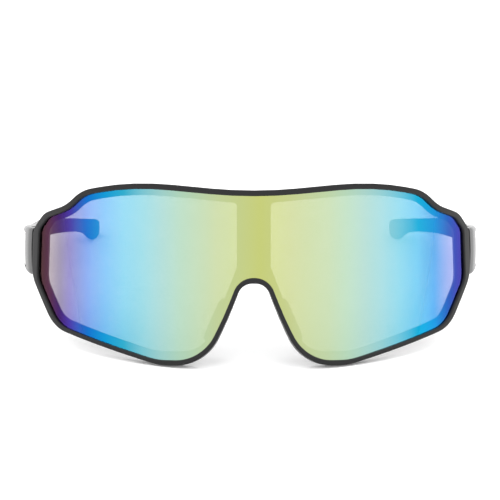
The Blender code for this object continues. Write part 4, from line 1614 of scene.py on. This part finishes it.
@dataclass(frozen=True)
class HingeHardware:
    """Screw, barrel nut, bushing and washers of both hinges."""

    stand: Matrix
    chamfer: float = 0.12 * MM
    dome: float = 0.10 * MM
    thread_pitch: float = 0.35 * MM
    thread_depth: float = 0.08 * MM

    def lifted(self, pairs: Pairs) -> Pairs:
        """Radii and heights from the hinge's middle, as heights from the eye line."""
        return [(radius, HINGE.middle + height) for radius, height in pairs]

    def screw(self) -> bpy.types.Object:
        """The slotted screw, threaded where it meets the nut."""
        h = HINGE
        tip = -h.leaf_outer + PATTERN.fit_gap
        neck = h.leaf_outer - h.head_height
        profile = [(h.screw_radius - 2 * self.chamfer, tip),
                   (h.screw_radius - self.thread_depth, tip + self.chamfer)]
        height = tip + self.chamfer
        while height < tip + h.nut_height * 2:
            profile += [(h.screw_radius, height + self.thread_pitch / 2),
                        (h.screw_radius - self.thread_depth, height + self.thread_pitch)]
            height += self.thread_pitch
        profile += [(h.screw_radius, height + self.chamfer), (h.screw_radius, neck),
                    (h.head_radius - self.chamfer, neck), (h.head_radius, neck + self.chamfer)]
        profile += [(h.head_radius * math.cos(turn), h.leaf_outer - self.dome * (1 - math.sin(turn)))
                    for turn in (math.radians(a) for a in (0, 25, 45, 62, 76, 85))]
        screw = turned_solid("slotted_screw_left", h.pin, self.lifted(profile))
        place = Matrix.Translation(h.centre + Vector((0, 0, h.leaf_outer)))
        slot = block("slot", place @ Matrix.Rotation(math.radians(35), 4, "Z"),
                     (-2 * MM, -h.slot_width / 2, -h.slot_depth), (2 * MM, h.slot_width / 2, MM))
        return combine(screw, [slot], "DIFFERENCE")

    def sleeve(self, name: str, inner: float, outer: float, bottom: float,
               top: float) -> bpy.types.Object:
        """A chamfered ring about the screw's axis.

        Args:
            name: the object's name.
            inner: its bore's radius.
            outer: its outer radius.
            bottom: its lower face, from the hinge's middle.
            top: its upper face.

        Returns:
            The ring.
        """
        cut = min(self.chamfer, (outer - inner) / 4, (top - bottom) / 4)
        section = [(inner + cut, bottom), (outer - cut, bottom), (outer, bottom + cut),
                   (outer, top - cut), (outer - cut, top), (inner + cut, top),
                   (inner, top - cut), (inner, bottom + cut)]
        return turned_ring(name, HINGE.pin, self.lifted(section))

    def build(self) -> None:
        """Build the left hinge's pieces, mirror them, and hand them over."""
        h, gap = HINGE, PATTERN.fit_gap
        washer = h.eye_half_height + gap
        nut = self.sleeve("barrel_nut_left", h.bore, h.bore + h.bush_wall,
                          -h.leaf_outer + 0.1 * MM, -h.leaf_outer + h.nut_height)
        cross = block("spanner_slot", Matrix.Translation(h.centre - Vector((0, 0, h.leaf_outer))),
                      (-2 * MM, -h.slot_width / 2, -MM), (2 * MM, h.slot_width / 2, 0.4 * MM))
        combine(nut, [cross], "DIFFERENCE")
        made = (
            (self.screw(), SCREW_STEEL, Slot.STEEL, "front", "hinge_screw_"),
            (nut, HINGE_BRASS, Slot.BRASS, "front", "hinge_nut_"),
            (self.sleeve("flanged_bushing_left", h.bore, h.bore + h.bush_wall,
                         -h.eye_half_height, h.eye_half_height),
             HINGE_BRASS, Slot.BRASS, "temple", "hinge_bushing_"),
            (self.sleeve("upper_washer_left", h.bore, h.washer_radius, washer,
                         washer + h.washer_thickness),
             WASHER_NYLON, Slot.WASHER, "front", "hinge_washer_upper_"),
            (self.sleeve("lower_washer_left", h.bore, h.washer_radius,
                         -washer - h.washer_thickness, -washer),
             WASHER_NYLON, Slot.WASHER, "front", "hinge_washer_lower_"),
        )
        for piece, finish, slot, body, node in made:
            piece.data.transform(self.stand)
            twin = mirror_copy(piece, piece.name.replace("_left", "_right"))
            for copy, side in ((piece, Side.LEFT), (twin, Side.RIGHT)):
                rides = body if body == "front" else "temple_" + side.word
                hand_over(copy, finish, rides, slot, node + side.word)


# ---------------------------------------------------------------- the studio

@dataclass(frozen=True)
class Studio:
    """A pale floor, soft light all round and the camera."""

    stand: Matrix
    floor_size: float = 8.0
    sky: float = 1.5
    glow: float = 0.11         # of the floor, so that its far edge is as bright as the sky
    distance: float = 0.9
    turn: float = math.radians(1.2)
    dip: float = math.radians(0.6634)
    aside: float = -1.27 * MM
    focal_length: float = 202.1

    def floor(self) -> None:
        """The pale sheet that the glasses stand on."""
        bm = bmesh.new()
        bmesh.ops.create_grid(bm, x_segments=1, y_segments=1, size=self.floor_size / 2)
        floor = new_object("paper_floor", bm)
        made = bpy.data.materials.new("white_paper")
        made.use_nodes = True
        sheet = Wiring(made.node_tree)
        place = sheet.add("TexCoord").outputs["Object"]
        fibre = sheet.add("TexNoise", {"Vector": place, "Scale": 600.0, "Detail": 4.0})
        colour = sheet.blend(fibre.outputs[0], (0.93, 0.93, 0.93, 1.0), (0.95, 0.95, 0.95, 1.0))
        sheet.feed(made.node_tree.nodes["Principled BSDF"],
                   {"Base Color": colour, "Roughness": 0.9, "Specular IOR Level": 0.1,
                    "Emission Color": (1.0, 1.0, 1.0, 1.0), "Emission Strength": self.glow})
        floor.data.materials.append(made)

    def lamp(self, name: str, place: Vector, size: float, power: float) -> None:
        """A square soft box that faces the glasses.

        Args:
            name: the lamp's name.
            place: where it hangs.
            size: its side.
            power: its power in watts.
        """
        data = bpy.data.lights.new(name, "AREA")
        data.shape = "SQUARE"
        data.size = size
        data.energy = power
        lamp = bpy.data.objects.new(name, data)
        lamp.location = place
        lamp.rotation_euler = (Vector((0, 0, 0.02)) - place).to_track_quat("-Z", "Y").to_euler()
        bpy.context.scene.collection.objects.link(lamp)

    def camera(self) -> None:
        """A long lens, straight on to the lens's face."""
        forward = Vector((math.sin(self.turn) * math.cos(self.dip),
                          math.cos(self.turn) * math.cos(self.dip), -math.sin(self.dip)))
        right = Vector((math.cos(self.turn), -math.sin(self.turn), 0))
        pose = Matrix((right, right.cross(forward), -forward)).transposed().to_4x4()
        pose.translation = Vector((-self.distance * math.sin(self.turn) + self.aside,
                                   -self.distance * math.cos(self.turn), 0))
        data = bpy.data.cameras.new("studio_camera")
        data.sensor_width = 36.0
        data.lens = self.focal_length
        data.clip_start = 0.01
        camera = bpy.data.objects.new("studio_camera", data)
        camera.matrix_world = self.stand @ pose
        bpy.context.scene.collection.objects.link(camera)
        bpy.context.scene.camera = camera

    def build(self) -> None:
        """Set up the floor, the lights and the camera."""
        scene = bpy.context.scene
        scene.view_settings.view_transform = "Standard"
        world = bpy.data.worlds.new("white_studio")
        world.use_nodes = True
        background = world.node_tree.nodes["Background"]
        background.inputs["Color"].default_value = (1.0, 1.0, 1.0, 1.0)
        background.inputs["Strength"].default_value = self.sky
        scene.world = world
        self.floor()
        self.camera()
        self.lamp("overhead_box", Vector((0.0, -0.30, 1.5)), 2.2, 7.0)


def main() -> None:
    """Build the glasses piece by piece in the studio."""
    stand = stand_matrix()
    Studio(stand).build()
    ShieldFront(stand).build()
    ShieldLens(stand).build()
    NoseCushions(stand).build()
    Temple(stand).build()
    HingeHardware(stand).build()


if __name__ == "__main__":
    main()
